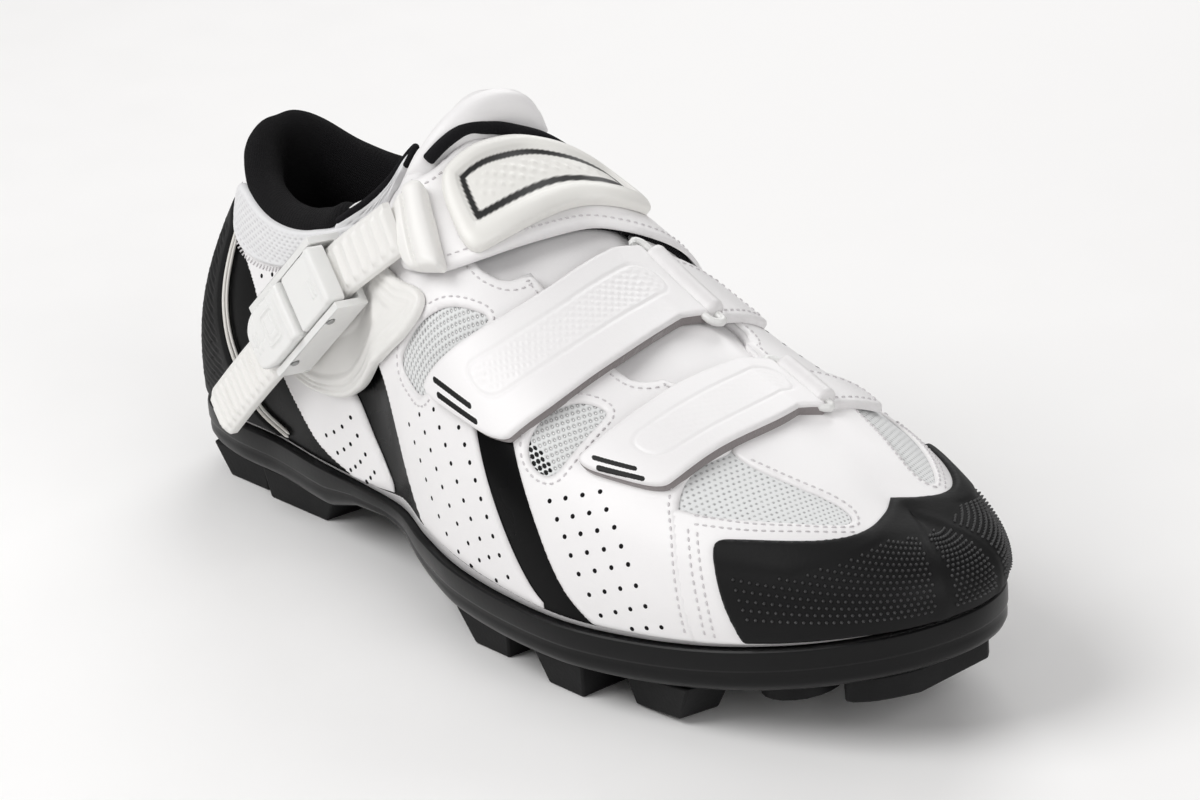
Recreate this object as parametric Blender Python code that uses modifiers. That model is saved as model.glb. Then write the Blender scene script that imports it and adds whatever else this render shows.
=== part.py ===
# A cycling shoe for the right foot: stiff lugged sole, hollow upper with its overlays, tongue, three straps
# and a ratchet buckle. Metres, +X towards the toe, +Y towards the wearer's left, +Z up, standing on Z = 0.
# The upper is one smooth surface over a last. Everything on it is cut from that same surface.

import math

import bmesh
import bpy
import numpy as np
from mathutils import Matrix, Vector

# Driving sizes
LENGTH = 0.277             # heel to toe along the feather line, where upper and sole meet
BALL_WIDTH = 0.092         # the feather line across the ball of the foot
SOLE_HEIGHT = 0.022        # floor to feather line at heel and ball
TOE_SPRING = 0.012         # how much higher the feather line is at the toe
COLLAR_RISE = 0.075        # feather line to the collar at the heel
INSTEP_RISE = 0.088        # feather line to the ridge of the instep
SIDE_BULGE = 0.003         # how far the walls swell out above the sole
UPPER_WALL = 0.002
SEAM_GAP = 0.0004          # clearance between pieces that touch
OVERLAY = 0.001            # thickness of the panels laid on the upper
CUFF_THICK = 0.0022
CUFF_LIFT = 0.001
CAP_THICK = 0.0016         # toe cap and heel counter
COUNTER_LIFT = 0.00064     # between the upper and the heel counter
PADDING = 0.006            # padded lining of the collar
TONGUE_THICK = 0.0035
TONGUE_GAP = 0.0013        # between the wall and the tongue under it
TONGUE_STAND = 0.0115      # how far the tongue stands up out of the throat
INSOLE_THICK = 0.003
INSOLE_INSET = 0.0045
RIM = 0.0022               # how far the sole's side stands out past the upper
LUG_HEIGHT = 0.010
RAIL_HEIGHT = 0.0085
TREAD_HEIGHT = 0.0022
TOE_LUG_HEIGHT = 0.0065
ARCH_HEIGHT = 0.006        # how much higher the sole's underside is at the arch
TREAD_DRAFT = 0.0012
CLEAT_SLOT_PITCH = 0.014
CLEAT_SLOT_LENGTH = 0.030
CLEAT_SLOT_WIDTH = 0.008
CLEAT_RECESS_DEPTH = 0.003
NUT_PLATE_THICK = 0.0022
NUT_PLATE_MARGIN = 0.003   # how far the nut plate reaches past the slots
NUT_BORE_RADIUS = 0.0025
CUT_PAST = 0.001           # how far a cutter reaches past the face that it opens
SLOPE_STEP = 0.02          # in stations and in sweep, for the upper's slope at the buckle
STUD_RADIUS = 0.010
STUD_THICK = 0.004
STUD_INSERT_RADIUS = 0.0038
STUD_BORE_RADIUS = 0.002
STRAP_THICK = 0.003
STRAP_LIFT = 0.0009        # between the upper and a strap
BADGE_THICK = 0.003
RING_RADIUS = 0.0017
KEEPER_THICK = 0.002
BRACKET_THICK = 0.0045
WING_THICK = 0.002
WING_TOP = 2 * SEAM_GAP + OVERLAY + WING_THICK   # the buckle's wing lies over the rear panel
LADDER_WIDTH = 0.014
LADDER_THICK = 0.0022
LADDER_TOOTH = 0.0010
LADDER_PITCH = 0.0036
BUCKLE_LENGTH = 0.038
BUCKLE_WIDTH = 0.021
BUCKLE_HEIGHT = 0.0095
BUCKLE_WALL = 0.002
BUCKLE_PIN_RADIUS = 0.0011
BUCKLE_PIN_PLACE = 0.30    # share of the buckle's length, from its middle
BUCKLE_PIN_HEIGHT = 0.84   # share of its height
COVER_STAND = 0.001        # how far the cover and the lever stand above the buckle's walls
COVER_BEVEL = 0.0008
LEVER_STAND = 0.0022
LEVER_OVERHANG = 0.006
LEVER_BEVEL = 0.0012
LEVER_GAP = 0.001
LADDER_REACH = 0.042       # the scale of LADDER_PATH

# The last, a row for each station from heel to toe. x and top_x are shares of LENGTH, medial, lateral and the
# tops shares of BALL_WIDTH, spring of TOE_SPRING, collar of COLLAR_RISE, instep of INSTEP_RISE, bulge of
# SIDE_BULGE. A full value under 1 squares the section. closed is 1 where both sides meet at the ridge.
STATION_COLUMNS = (
    "x", "medial", "lateral", "spring", "top_x", "top_medial", "top_lateral",
    "collar", "instep", "full", "closed", "bulge",
)
STATIONS = (
    # heel back, heel sides, ankle
    (0.000, 0.00, 0.00, 0.00, 0.078, 0.000, 0.000, 1.00, 0.00, 1.00, 0.0, 1.6),
    (0.011, 0.14, 0.13, 0.00, 0.083, 0.070, 0.070, 1.00, 0.00, 1.00, 0.0, 1.6),
    (0.043, 0.26, 0.24, 0.00, 0.099, 0.140, 0.140, 0.96, 0.00, 1.00, 0.0, 1.5),
    (0.101, 0.33, 0.29, 0.00, 0.133, 0.205, 0.205, 0.88, 0.00, 1.00, 0.0, 1.3),
    (0.173, 0.32, 0.30, 0.00, 0.188, 0.250, 0.250, 0.84, 0.00, 1.00, 0.0, 1.0),
    (0.245, 0.29, 0.33, 0.00, 0.253, 0.261, 0.272, 0.88, 0.00, 1.00, 0.0, 1.0),
    (0.318, 0.28, 0.35, 0.00, 0.310, 0.239, 0.250, 1.01, 0.00, 0.95, 0.15, 1.0),
    # instep, waist
    (0.390, 0.28, 0.38, 0.00, 0.361, 0.054, -0.054, 0.00, 1.10, 0.82, 1.0, 1.0),
    (0.455, 0.29, 0.46, 0.00, 0.408, 0.054, -0.054, 0.00, 1.00, 0.80, 1.0, 1.0),
    (0.527, 0.36, 0.53, 0.00, 0.484, 0.065, -0.065, 0.00, 0.86, 0.77, 1.0, 1.0),
    (0.606, 0.41, 0.565, 0.00, 0.563, 0.065, -0.065, 0.00, 0.71, 0.80, 1.0, 1.0),
    # ball, toes
    (0.686, 0.435, 0.565, 0.00, 0.639, 0.065, -0.065, 0.00, 0.60, 0.85, 1.0, 1.0),
    (0.765, 0.43, 0.52, 0.08, 0.715, 0.060, -0.060, 0.00, 0.52, 0.88, 1.0, 1.0),
    (0.838, 0.39, 0.455, 0.25, 0.783, 0.050, -0.050, 0.00, 0.435, 0.90, 1.0, 1.0),
    (0.903, 0.32, 0.37, 0.50, 0.845, 0.040, -0.040, 0.00, 0.34, 0.90, 1.0, 0.9),
    (0.953, 0.24, 0.27, 0.75, 0.888, 0.030, -0.030, 0.00, 0.25, 0.90, 1.0, 0.8),
    (0.986, 0.14, 0.15, 0.92, 0.910, 0.020, -0.020, 0.00, 0.195, 0.90, 1.0, 0.8),
    (1.000, 0.00, 0.00, 1.00, 0.921, 0.010, -0.010, 0.00, 0.165, 0.90, 1.0, 0.8),
)
TOE = len(STATIONS) - 1
RING = 2 * TOE
# The upper's grid, which the toe cap shares. It is closer at the heel and toe than along the sides.
EVEN_PLACES = np.linspace(0, RING, 85)[:-1]
UPPER_PLACES = EVEN_PLACES - 0.3 * RING / (4 * math.pi) * np.sin(4 * math.pi * EVEN_PLACES / RING)
UPPER_HEIGHTS = np.linspace(0, 1, 11)

# Where the upper's top edge lies: the share of the way up its wall at each station.
THROAT = (
    (0.0, 1.0), (6.0, 1.0), (6.3, 0.91), (6.6, 0.77), (7.0, 0.67), (7.5, 0.70), (8.0, 0.77), (9.0, 0.80),
    (10.0, 0.80), (11.0, 0.82), (12.0, 0.88), (12.7, 1.0), (17.0, 1.0),
)
# The arch of the underside: share of LENGTH, share of ARCH_HEIGHT.
ARCH = (
    (0.0, 0.0), (0.26, 0.0), (0.31, 0.75), (0.36, 1.0), (0.41, 0.85), (0.47, 0.2), (0.52, 0.0), (1.0, 0.0),
)
# The sole's side, from the feather line down: share of the side's height, share of RIM.
SOLE_SIDE = ((0.0, 0.75), (0.10, 1.0), (0.42, 1.0), (0.50, 0.45), (0.58, 0.45), (0.66, 0.9), (1.0, -0.3))

# Patches of the upper. Each row gives a point on one edge and its partner on the other edge, as
# station and sweep: sweep 0 is the lateral feather line, 1 the ridge and 2 the medial feather line.
# The toe cap alone is a station and how far up the wall it reaches there.
TOE_CAP = ((13.0, 0.42), (13.84, 0.50), (14.70, 0.62), (15.20, 0.78), (15.55, 1.0), (17.0, 1.0))
TOE_CAP_REAR = 13.05
PANEL_FOOT = 0.02          # how far up the wall the overlays begin
COUNTER_REACH = ((0.03, 4.3), (0.12, 3.6), (0.29, 3.1), (0.54, 2.55), (0.78, 2.35))
CUFF_LATERAL = (
    (2.3, 0.99, 2.45, 0.77), (2.9, 0.99, 2.9, 0.755), (3.5, 0.99, 3.5, 0.76), (4.35, 0.99, 4.35, 0.82),
    (5.2, 0.98, 5.2, 0.87), (5.8, 0.95, 5.8, 0.86), (6.05, 0.91, 6.05, 0.83),
)
PANELS_LATERAL = {
    "lateral_panel_rear": ((5.95, 0.015, 6.75, 0.015), (4.96, 0.17, 6.42, 0.15), (4.46, 0.30, 6.05, 0.30),
                           (4.30, 0.42, 5.9, 0.42)),
    "lateral_panel_middle": ((8.35, 0.015, 10.75, 0.015), (7.19, 0.14, 10.15, 0.13), (6.75, 0.25, 9.8, 0.25)),
    "lateral_panel_front": ((11.45, 0.015, 12.85, 0.015), (11.05, 0.10, 12.75, 0.12),
                            (10.67, 0.24, 12.6, 0.30), (10.35, 0.36, 12.40, 0.46)),
}
PANELS_MEDIAL = {
    "medial_panel_rear": ((4.55, 1.97, 4.2, 1.66), (5.2, 1.97, 5.2, 1.70), (6.0, 1.97, 6.0, 1.74),
                          (6.5, 1.98, 6.5, 1.83), (7.0, 1.985, 7.0, 1.90), (8.2, 1.985, 8.0, 1.90)),
    "medial_panel_front": ((8.5, 1.985, 8.3, 1.90), (9.9, 1.97, 9.8, 1.80), (11.3, 1.97, 11.1, 1.72),
                           (12.8, 1.97, 12.4, 1.66)),
}
VAMP_OVERLAY = (
    (13.10, 0.735, 13.10, 1.265), (13.5, 0.72, 13.5, 1.28), (14.3, 0.755, 14.3, 1.245),
    (14.8, 0.80, 14.8, 1.20), (15.3, 0.93, 15.3, 1.07),
)
INSTEP_STRAP = (
    (7.06, 0.615, 7.72, 0.48), (7.50, 0.67, 8.45, 0.565), (7.56, 0.74, 8.78, 0.67), (7.56, 0.80, 8.98, 0.76),
    (7.62, 0.88, 9.17, 0.87), (7.80, 0.96, 9.32, 0.98), (7.98, 1.06, 9.45, 1.08), (8.12, 1.18, 9.52, 1.20),
    (8.25, 1.32, 9.55, 1.34), (8.33, 1.48, 9.50, 1.50), (8.40, 1.66, 9.40, 1.66),
)
STRAP_BADGE = (
    (7.72, 0.72, 8.75, 0.668), (7.72, 0.79, 8.90, 0.77), (7.76, 0.88, 9.00, 0.88), (7.92, 0.97, 9.07, 0.98),
    (8.06, 1.07, 9.12, 1.08), (8.20, 1.19, 9.15, 1.21), (8.32, 1.32, 9.10, 1.34),
)
MIDDLE_STRAP = (
    (8.95, 0.325, 9.95, 0.375), (8.80, 0.37, 10.25, 0.43), (9.20, 0.52, 10.50, 0.56),
    (9.48, 0.66, 10.66, 0.68), (9.62, 0.80, 10.80, 0.82), (9.66, 0.95, 10.86, 0.95),
    (9.70, 1.096, 10.88, 1.096),
)
LOWER_STRAP = (
    (11.20, 0.46, 12.00, 0.49), (11.15, 0.50, 12.25, 0.55), (11.35, 0.66, 12.50, 0.70),
    (11.52, 0.80, 12.75, 0.82), (11.72, 0.94, 12.93, 0.94), (11.94, 1.096, 13.02, 1.096),
)
# The ring that each lower strap turns round: rear and front station, sweep.
RINGS = {"middle": (9.60, 10.98, 1.13), "lower": (11.86, 12.98, 1.13)}
RING_CLEAR = 0.034         # between a ring's middle and the strap or keeper at it, in sweep
KEEPER_REACH = 0.30        # how far a keeper runs down the medial side, in sweep
BRACKET = ((8.10, 0.525, 8.62, 0.60), (7.42, 0.545, 8.10, 0.655), (7.40, 0.625, 7.62, 0.685))
BUCKLE_BASE = (
    (4.50, 0.58, 4.70, 0.42), (5.05, 0.66, 5.20, 0.345), (5.65, 0.66, 5.75, 0.305), (6.20, 0.58, 6.25, 0.275),
    (6.70, 0.46, 6.90, 0.215), (7.20, 0.42, 7.75, 0.305), (7.75, 0.44, 8.15, 0.395), (8.15, 0.49, 8.32, 0.47),
)
BUCKLE_PLACE = (5.79, 0.669)
LADDER_START = (7.14, 0.487)
# The ladder's middle line from the bracket to its loose end, from the middle of the buckle: along, across
# and out, as shares of LADDER_REACH.
LADDER_PATH = ((-0.93, 0.02, 0.0), (-0.44, 0.0, 0.0), (0.05, 0.0, 0.0), (0.54, 0.0, 0.0),
               (1.03, 0.0, 0.0), (1.52, 0.0, -0.02))
# The tongue: station and half its sweep, from the vamp up to the throat's top.
TONGUE = ((13.1, 0.10), (12.4, 0.20), (11.5, 0.27), (10.2, 0.32), (9.0, 0.34), (8.2, 0.33), (7.45, 0.30))
# The tongue's loose edge from its lateral to its medial corner, measured from the top of the throat:
# forward, to the left and up, as shares of TONGUE_STAND.
TONGUE_EDGE = (
    (-0.75, -2.05, -0.45), (-0.40, -1.70, 0.35), (0.00, -0.95, 0.87), (0.20, -0.20, 1.05), (0.30, 0.60, 0.87),
    (0.45, 0.95, 0.45), (0.52, 0.82, -0.20),
)

# Tread blocks: rear, front as shares of LENGTH, inner and outer as shares of BALL_WIDTH, minus is lateral,
# skew is how far the outer end lies forward, chamfers slope the rear and the front face, shares of LENGTH.
LUG_COLUMNS = ("rear", "front", "inner", "outer", "skew", "rear_chamfer", "front_chamfer")
LUGS = {
    "heel_lug_medial_rear": (0.035, 0.138, 0.10, 0.275, 0.012, 0.018, 0.004),
    "heel_lug_medial_front": (0.162, 0.262, 0.10, 0.270, -0.006, 0.004, 0.022),
    "heel_lug_lateral_rear": (0.030, 0.112, -0.10, -0.262, 0.012, 0.018, 0.004),
    "heel_lug_lateral_front": (0.136, 0.250, -0.13, -0.285, -0.006, 0.004, 0.024),
    "forefoot_lug_lateral_rear": (0.520, 0.592, -0.345, -0.520, -0.006, 0.020, 0.006),
    "forefoot_lug_lateral_middle": (0.632, 0.700, -0.345, -0.545, -0.004, 0.016, 0.006),
    "forefoot_lug_lateral_front": (0.738, 0.822, -0.345, -0.485, -0.010, 0.010, 0.018),
    "forefoot_lug_medial_rear": (0.545, 0.600, 0.285, 0.375, 0.006, 0.012, 0.006),
    "forefoot_lug_medial_middle": (0.645, 0.715, 0.285, 0.415, 0.004, 0.010, 0.006),
    "forefoot_lug_medial_front": (0.742, 0.826, 0.285, 0.395, -0.008, 0.008, 0.018),
}
RAILS = {
    "medial_rail": (0.530, 0.775, 0.205, 0.278, 0.0, 0.010, 0.016),
    "lateral_rail": (0.530, 0.805, -0.260, -0.335, 0.0, 0.010, 0.016),
}
# Flat pads of tread: share of LENGTH, then lateral and medial edge as shares of BALL_WIDTH.
TOE_LUG = ((0.905, -0.18, 0.17), (0.925, -0.245, 0.215), (0.945, -0.235, 0.205), (0.965, -0.19, 0.17),
           (0.980, -0.13, 0.12))
ARCH_TREAD = ((0.27, -0.16, 0.17), (0.34, -0.20, 0.19), (0.42, -0.27, 0.20), (0.475, -0.36, 0.22),
              (0.510, -0.36, 0.26))
STUDS = {"medial": (0.863, 0.195), "lateral": (0.866, -0.235)}
CLEAT_RECESS = (0.530, 0.762, -0.245, 0.190)   # rear, front, lateral, medial
CLEAT_SLOT_PLACE = (0.630, -0.022)             # middle of the pair of slots
NUT_BORE_SPREAD = 0.012                        # between the two bores of one slot


def clear_scene():
    for item in list(bpy.data.objects):
        bpy.data.objects.remove(item)


def ring_values(medial, lateral=None):
    """A column's values once round the shoe: heel, medial side, toe, lateral side."""
    rows = np.array(STATIONS)
    first = rows[:, STATION_COLUMNS.index(medial)]
    other = first if lateral is None else -rows[:, STATION_COLUMNS.index(lateral)]
    return np.concatenate([first, other[TOE - 1:0:-1]])


RING_X = ring_values("x") * LENGTH
RING_Y = ring_values("medial", "lateral") * BALL_WIDTH
RING_SPRING = ring_values("spring") * TOE_SPRING
RING_TOP_X = ring_values("top_x") * LENGTH
RING_TOP_Y = ring_values("top_medial", "top_lateral") * BALL_WIDTH
RING_RISE = ring_values("collar") * COLLAR_RISE + ring_values("instep") * INSTEP_RISE
RING_FULL = ring_values("full")
RING_CLOSED = ring_values("closed")
RING_BULGE = ring_values("bulge") * SIDE_BULGE


def smooth_step(a, b, c, d, f):
    return b + 0.5 * f * (c - a + f * (2 * a - 5 * b + 4 * c - d + f * (3 * (b - c) + d - a)))


def round_ring(values, place):
    """A smooth closed curve through the values. place counts stations and is minus on the lateral side."""
    place = np.asarray(place, float)
    index = np.floor(place).astype(int)
    return smooth_step(*(values[(index + k) % RING] for k in (-1, 0, 1, 2)), place - index)


def along_table(table, share):
    """Rows of a table, followed smoothly from the first (share 0) to the last (share 1)."""
    table = np.asarray(table, float)
    table = np.concatenate([[2 * table[0] - table[1]], table, [2 * table[-1] - table[-2]]])
    place = np.asarray(share, float) * (len(table) - 3)
    index = np.minimum(np.floor(place).astype(int), len(table) - 4)
    return smooth_step(*(table[index + k] for k in range(4)), (place - index)[..., None])


def feather(place):
    """The line where upper and sole meet, and its outward direction in plan."""
    step = 0.01
    x, y = round_ring(RING_X, place), round_ring(RING_Y, place)
    dx = round_ring(RING_X, place + step) - round_ring(RING_X, place - step)
    dy = round_ring(RING_Y, place + step) - round_ring(RING_Y, place - step)
    size = np.hypot(dx, dy)
    z = SOLE_HEIGHT + round_ring(RING_SPRING, place)
    return np.stack([x, y, z], -1), np.stack([-dy / size, dx / size, 0 * size], -1)


def skin(place, height):
    """The last's surface: height 0 is the feather line, 1 the collar or the ridge."""
    base, outward = feather(place)
    top_z = base[..., 2] + round_ring(RING_RISE, place)
    top = np.stack([round_ring(RING_TOP_X, place), round_ring(RING_TOP_Y, place), top_z], -1)
    closed = np.clip(round_ring(RING_CLOSED, place), 0, 1)
    full = round_ring(RING_FULL, place)
    angle = np.clip(height, 0, 1) * math.pi / 2
    inward = (1 - closed) * height + closed * (1 - np.abs(np.cos(angle)) ** full)
    upward = (1 - closed) * height + closed * np.sin(angle) ** full
    swell = round_ring(RING_BULGE, place) * np.sin(math.pi * np.clip(1.25 * height, 0, 1))
    return base + (top - base) * np.stack([inward, inward, upward], -1) + outward * swell[..., None]


def skin_normal(place, height):
    step = 0.01
    inside = np.clip(height, 2 * step, 1 - 2 * step)
    along = skin(place + step, inside) - skin(place - step, inside)
    up = skin(place, inside + step) - skin(place, inside - step)
    normal = np.cross(up, along)
    return normal / np.linalg.norm(normal, axis=-1, keepdims=True)


def surface(place, height, lift=0.0):
    """The skin's point moved out along its normal by lift. At the ridge both sides share one normal."""
    place, height = np.broadcast_arrays(np.asarray(place, float), np.asarray(height, float))
    normal = skin_normal(place, height)
    ridge = 0.5 * np.clip((height - 0.85) / 0.15, 0, 1) * np.clip(round_ring(RING_CLOSED, place), 0, 1)
    normal = normal + ridge[..., None] * (skin_normal(-place, height) - normal)
    normal /= np.linalg.norm(normal, axis=-1, keepdims=True)
    return skin(place, height) + normal * np.asarray(lift)[..., None]


def over(station, sweep, lift=0.0):
    """Across the shoe at a station: sweep 0 is the lateral feather line, 1 the ridge, 2 the medial one."""
    station, sweep = np.broadcast_arrays(np.asarray(station, float), np.asarray(sweep, float))
    lateral = sweep <= 1
    return surface(np.where(lateral, -station, station), np.where(lateral, sweep, 2 - sweep), lift)


def station_at(x):
    """The station whose feather point has this x."""
    stations = np.linspace(0, TOE, 40 * TOE + 1)
    return np.interp(x, round_ring(RING_X, stations), stations)


def spring_at(x):
    return np.maximum(round_ring(RING_SPRING, station_at(x)), 0)


def underside(x):
    """Height of the sole plate's underside."""
    arch = np.array(ARCH)
    return LUG_HEIGHT + spring_at(x) + ARCH_HEIGHT * np.interp(x / LENGTH, arch[:, 0], arch[:, 1])


def material(name, colour, roughness, metallic=0.0):
    made = bpy.data.materials.new(name)
    made.use_nodes = True
    shader = made.node_tree.nodes["Principled BSDF"]
    shader.inputs["Base Color"].default_value = (*colour, 1.0)
    shader.inputs["Roughness"].default_value = roughness
    shader.inputs["Metallic"].default_value = metallic
    made.diffuse_color = (*colour, 1.0)
    return made


def add_object(name, mesh, finish):
    made = bpy.data.objects.new(name, mesh)
    PARTS.objects.link(made)
    mesh.materials.append(material(name, *FINISHES[finish]))
    return made


def mesh_from(name, build, weld=0.0):
    """A mesh from a function that fills a bmesh; weld merges points nearer than that."""
    work = bmesh.new()
    build(work)
    if weld:
        bmesh.ops.remove_doubles(work, verts=work.verts, dist=weld)
        bmesh.ops.dissolve_degenerate(work, edges=work.edges, dist=weld)
    mesh = bpy.data.meshes.new(name)
    work.to_mesh(mesh)
    work.free()
    return mesh


def grid_faces(work, points, closed=False):
    """A sheet of four-sided faces; closed joins the last column to the first."""
    rows, columns = points.shape[:2]
    verts = [[work.verts.new(point) for point in row] for row in points]
    for i in range(rows - 1):
        for j in range(columns if closed else columns - 1):
            k = (j + 1) % columns
            work.faces.new((verts[i][j], verts[i + 1][j], verts[i + 1][k], verts[i][k]))
    return verts


def shell(name, points, thickness, finish, closed=False, weld=5e-5):
    """A sheet that is given its thickness inwards."""
    made = add_object(name, mesh_from(name, lambda work: grid_faces(work, points, closed), weld), finish)
    wall = made.modifiers.new("wall", "SOLIDIFY")
    wall.thickness = thickness
    wall.offset = -1
    made.data.shade_smooth()
    return made


def between(name, upper, lower, finish, weld=5e-6):
    """A solid between two like grids: upper seen from above, lower under it."""
    def build(work):
        top = grid_faces(work, upper)
        bottom = grid_faces(work, lower)
        for face in list(work.faces)[len(work.faces) // 2:]:
            face.normal_flip()
        edge = [(i, 0) for i in range(len(top))] + [(len(top) - 1, j) for j in range(1, len(top[0]))]
        edge += [(i, len(top[0]) - 1) for i in range(len(top) - 2, -1, -1)]
        edge += [(0, j) for j in range(len(top[0]) - 2, 0, -1)]
        for (i, j), (k, m) in zip(edge, edge[1:] + edge[:1]):
            work.faces.new((top[k][m], top[i][j], bottom[i][j], bottom[k][m]))
    return add_object(name, mesh_from(name, build, weld), finish)


def patch(rows, long_count, wide_count):
    """Stations and sweeps of a patch, from its table of edge points."""
    edges = along_table(rows, np.linspace(0, 1, long_count))
    share = np.linspace(0, 1, wide_count)[:, None]
    station = edges[:, 0] + share * (edges[:, 2] - edges[:, 0])
    sweep = edges[:, 1] + share * (edges[:, 3] - edges[:, 1])
    return station, sweep


def strip(name, rows, lift, thickness, finish, long_count=13, wide_count=5):
    """A panel or strap laid over the upper; lift is the height of its underside."""
    stations, sweeps = patch(rows, long_count, wide_count)
    return shell(name, over(stations, sweeps, lift + thickness), thickness, finish)


def mirrored(rows):
    return tuple((a, 2 - b, c, 2 - d) for c, d, a, b in rows)


def box(name, low, high, finish, parent=None, bevel=0.0):
    """A block between two corners, in its parent's frame, with bevelled edges."""
    low, high = Vector(low), Vector(high)
    place = Matrix.Translation((low + high) / 2) @ Matrix.Diagonal((*(high - low), 1))
    mesh = mesh_from(name, lambda work: bmesh.ops.create_cube(work, size=1, matrix=place))
    made = add_object(name, mesh, finish)
    made.parent = parent
    if bevel:
        edge = made.modifiers.new("edge", "BEVEL")
        edge.width = bevel
        edge.segments = 2
    return made


def cylinder(name, radius, depth, place, finish=None, parent=None, segments=20):
    """A cylinder along the z axis of the matrix place; with no finish it is a cutter."""
    def build(work):
        bmesh.ops.create_cone(
            work, cap_ends=True, segments=segments, radius1=radius, radius2=radius, depth=depth, matrix=place
        )
    mesh = mesh_from(name, build)
    made = add_object(name, mesh, finish) if finish else add_cutter(name, mesh)
    made.parent = parent
    return made


def add_cutter(name, mesh):
    made = bpy.data.objects.new(name, mesh)
    CUTTERS.objects.link(made)
    made.hide_render = True
    made.display_type = "WIRE"
    return made


def cut(target, cutter, operation="DIFFERENCE"):
    step = target.modifiers.new(cutter.name, "BOOLEAN")
    step.object = cutter
    step.operation = operation
    step.solver = "EXACT"


def box_cutter(name, low, high):
    low, high = Vector(low), Vector(high)
    place = Matrix.Translation((low + high) / 2) @ Matrix.Diagonal((*(high - low), 1))
    return add_cutter(name, mesh_from(name, lambda work: bmesh.ops.create_cube(work, size=1, matrix=place)))


def slot_cutter(name, centre, length, width, low, high):
    """An upright slot with round ends, along x."""
    cutter = box_cutter(name, (centre[0] - (length - width) / 2, centre[1] - width / 2, low),
                        (centre[0] + (length - width) / 2, centre[1] + width / 2, high))
    for end in (-1, 1):
        place = Matrix.Translation((centre[0] + end * (length - width) / 2, centre[1], (low + high) / 2))
        cut(cutter, cylinder(f"{name}_end_{end}", width / 2, high - low, place), "UNION")
    return cutter


def make_sole():
    """The plate: sections lofted from heel to toe, with the side's steps, then cut for the cleat."""
    stations = np.linspace(0, TOE, 41)
    side = np.array(SOLE_SIDE)
    edges = {}
    for name, sign in (("medial", 1), ("lateral", -1)):
        base, outward = feather(sign * stations)
        top = base[:, 2] - SEAM_GAP
        low = underside(base[:, 0])
        drop = side[:, 0][:, None] * (top - low)
        place = base[:, :2] + side[:, 1][:, None, None] * RIM * outward[:, :2]
        edges[name] = np.concatenate([place, (top - drop)[..., None]], -1)
    across = np.linspace(0, 1, 5)[:, None, None]
    top_lines = edges["lateral"][0] + across * (edges["medial"][0] - edges["lateral"][0])
    low_lines = edges["medial"][-1] + across * (edges["lateral"][-1] - edges["medial"][-1])
    sections = np.concatenate([top_lines, edges["medial"][1:-1], low_lines, edges["lateral"][-2:0:-1]])
    mesh = mesh_from("sole_plate", lambda work: grid_faces(work, sections.transpose(1, 0, 2), True), 2e-5)
    plate = add_object("sole_plate", mesh, "nylon")
    rear, front, lateral, medial = CLEAT_RECESS
    floor = LUG_HEIGHT + CLEAT_RECESS_DEPTH
    cut(plate, box_cutter("recess", (rear * LENGTH, lateral * BALL_WIDTH, 0),
                          (front * LENGTH, medial * BALL_WIDTH, floor)))
    x, y = CLEAT_SLOT_PLACE[0] * LENGTH, CLEAT_SLOT_PLACE[1] * BALL_WIDTH
    top = SOLE_HEIGHT + SEAM_GAP
    seat = SOLE_HEIGHT - SEAM_GAP - NUT_PLATE_THICK - 2 * SEAM_GAP
    half = (0.5 * CLEAT_SLOT_LENGTH + NUT_PLATE_MARGIN, CLEAT_SLOT_PITCH)
    cut(plate, box_cutter("nut_seat", (x - half[0], y - half[1], seat), (x + half[0], y + half[1], top)))
    for index, sign in enumerate((-1, 1)):
        centre = (x, y + sign * CLEAT_SLOT_PITCH / 2)
        cut(plate, slot_cutter(f"slot_{index}", centre, CLEAT_SLOT_LENGTH, CLEAT_SLOT_WIDTH, floor - CUT_PAST,
                               seat + CUT_PAST))
    nut_low = seat + SEAM_GAP
    inset = SEAM_GAP
    nut = box("cleat_nut_plate", (x - half[0] + inset, y - half[1] + inset, nut_low),
              (x + half[0] - inset, y + half[1] - inset, nut_low + NUT_PLATE_THICK), "steel")
    for i, along in enumerate((-1, 1)):
        for j, sign in enumerate((-1, 1)):
            centre = (x + along * NUT_BORE_SPREAD / 2, y + sign * CLEAT_SLOT_PITCH / 2, nut_low)
            bore = cylinder(f"nut_bore_{i}{j}", NUT_BORE_RADIUS, 3 * NUT_PLATE_THICK, Matrix.Translation(centre),
                            segments=12)
            cut(nut, bore)


def tread_block(name, row, height, finish="rubber"):
    """A block that hangs from the underside to the floor, sloped at its ends and drafted at its sides."""
    rear, front, inner, outer, skew, rear_chamfer, front_chamfer = row
    along = np.linspace(0, 1, 4)[:, None]
    across = np.linspace(0, 1, 3)[None, :]
    if outer < inner:
        across = across[:, ::-1]
    x = (rear + along * (front - rear) + across * skew) * LENGTH
    y = (inner + across * (outer - inner)) * BALL_WIDTH + 0 * along
    low_x = x + ((1 - along) * rear_chamfer - along * front_chamfer) * LENGTH
    low_y = y + np.sign(outer - inner) * TREAD_DRAFT * (1 - 2 * across)
    foot = LUG_HEIGHT - height + spring_at(low_x)
    upper = np.stack([x, y, underside(x) - SEAM_GAP], -1)
    lower = np.stack([low_x, low_y, foot], -1)
    between(name, upper, lower, finish)


def tread_pad(name, rows, thickness, finish="rubber"):
    """A flat pad of tread that follows the underside."""
    edges = along_table(rows, np.linspace(0, 1, 9))
    share = np.linspace(0, 1, 7)[None, :]
    x = edges[:, :1] * LENGTH + 0 * share
    y = (edges[:, 1:2] + share * (edges[:, 2:3] - edges[:, 1:2])) * BALL_WIDTH
    top = underside(x) - SEAM_GAP
    between(name, np.stack([x, y, top], -1), np.stack([x, y, top - thickness], -1), finish)


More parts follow.
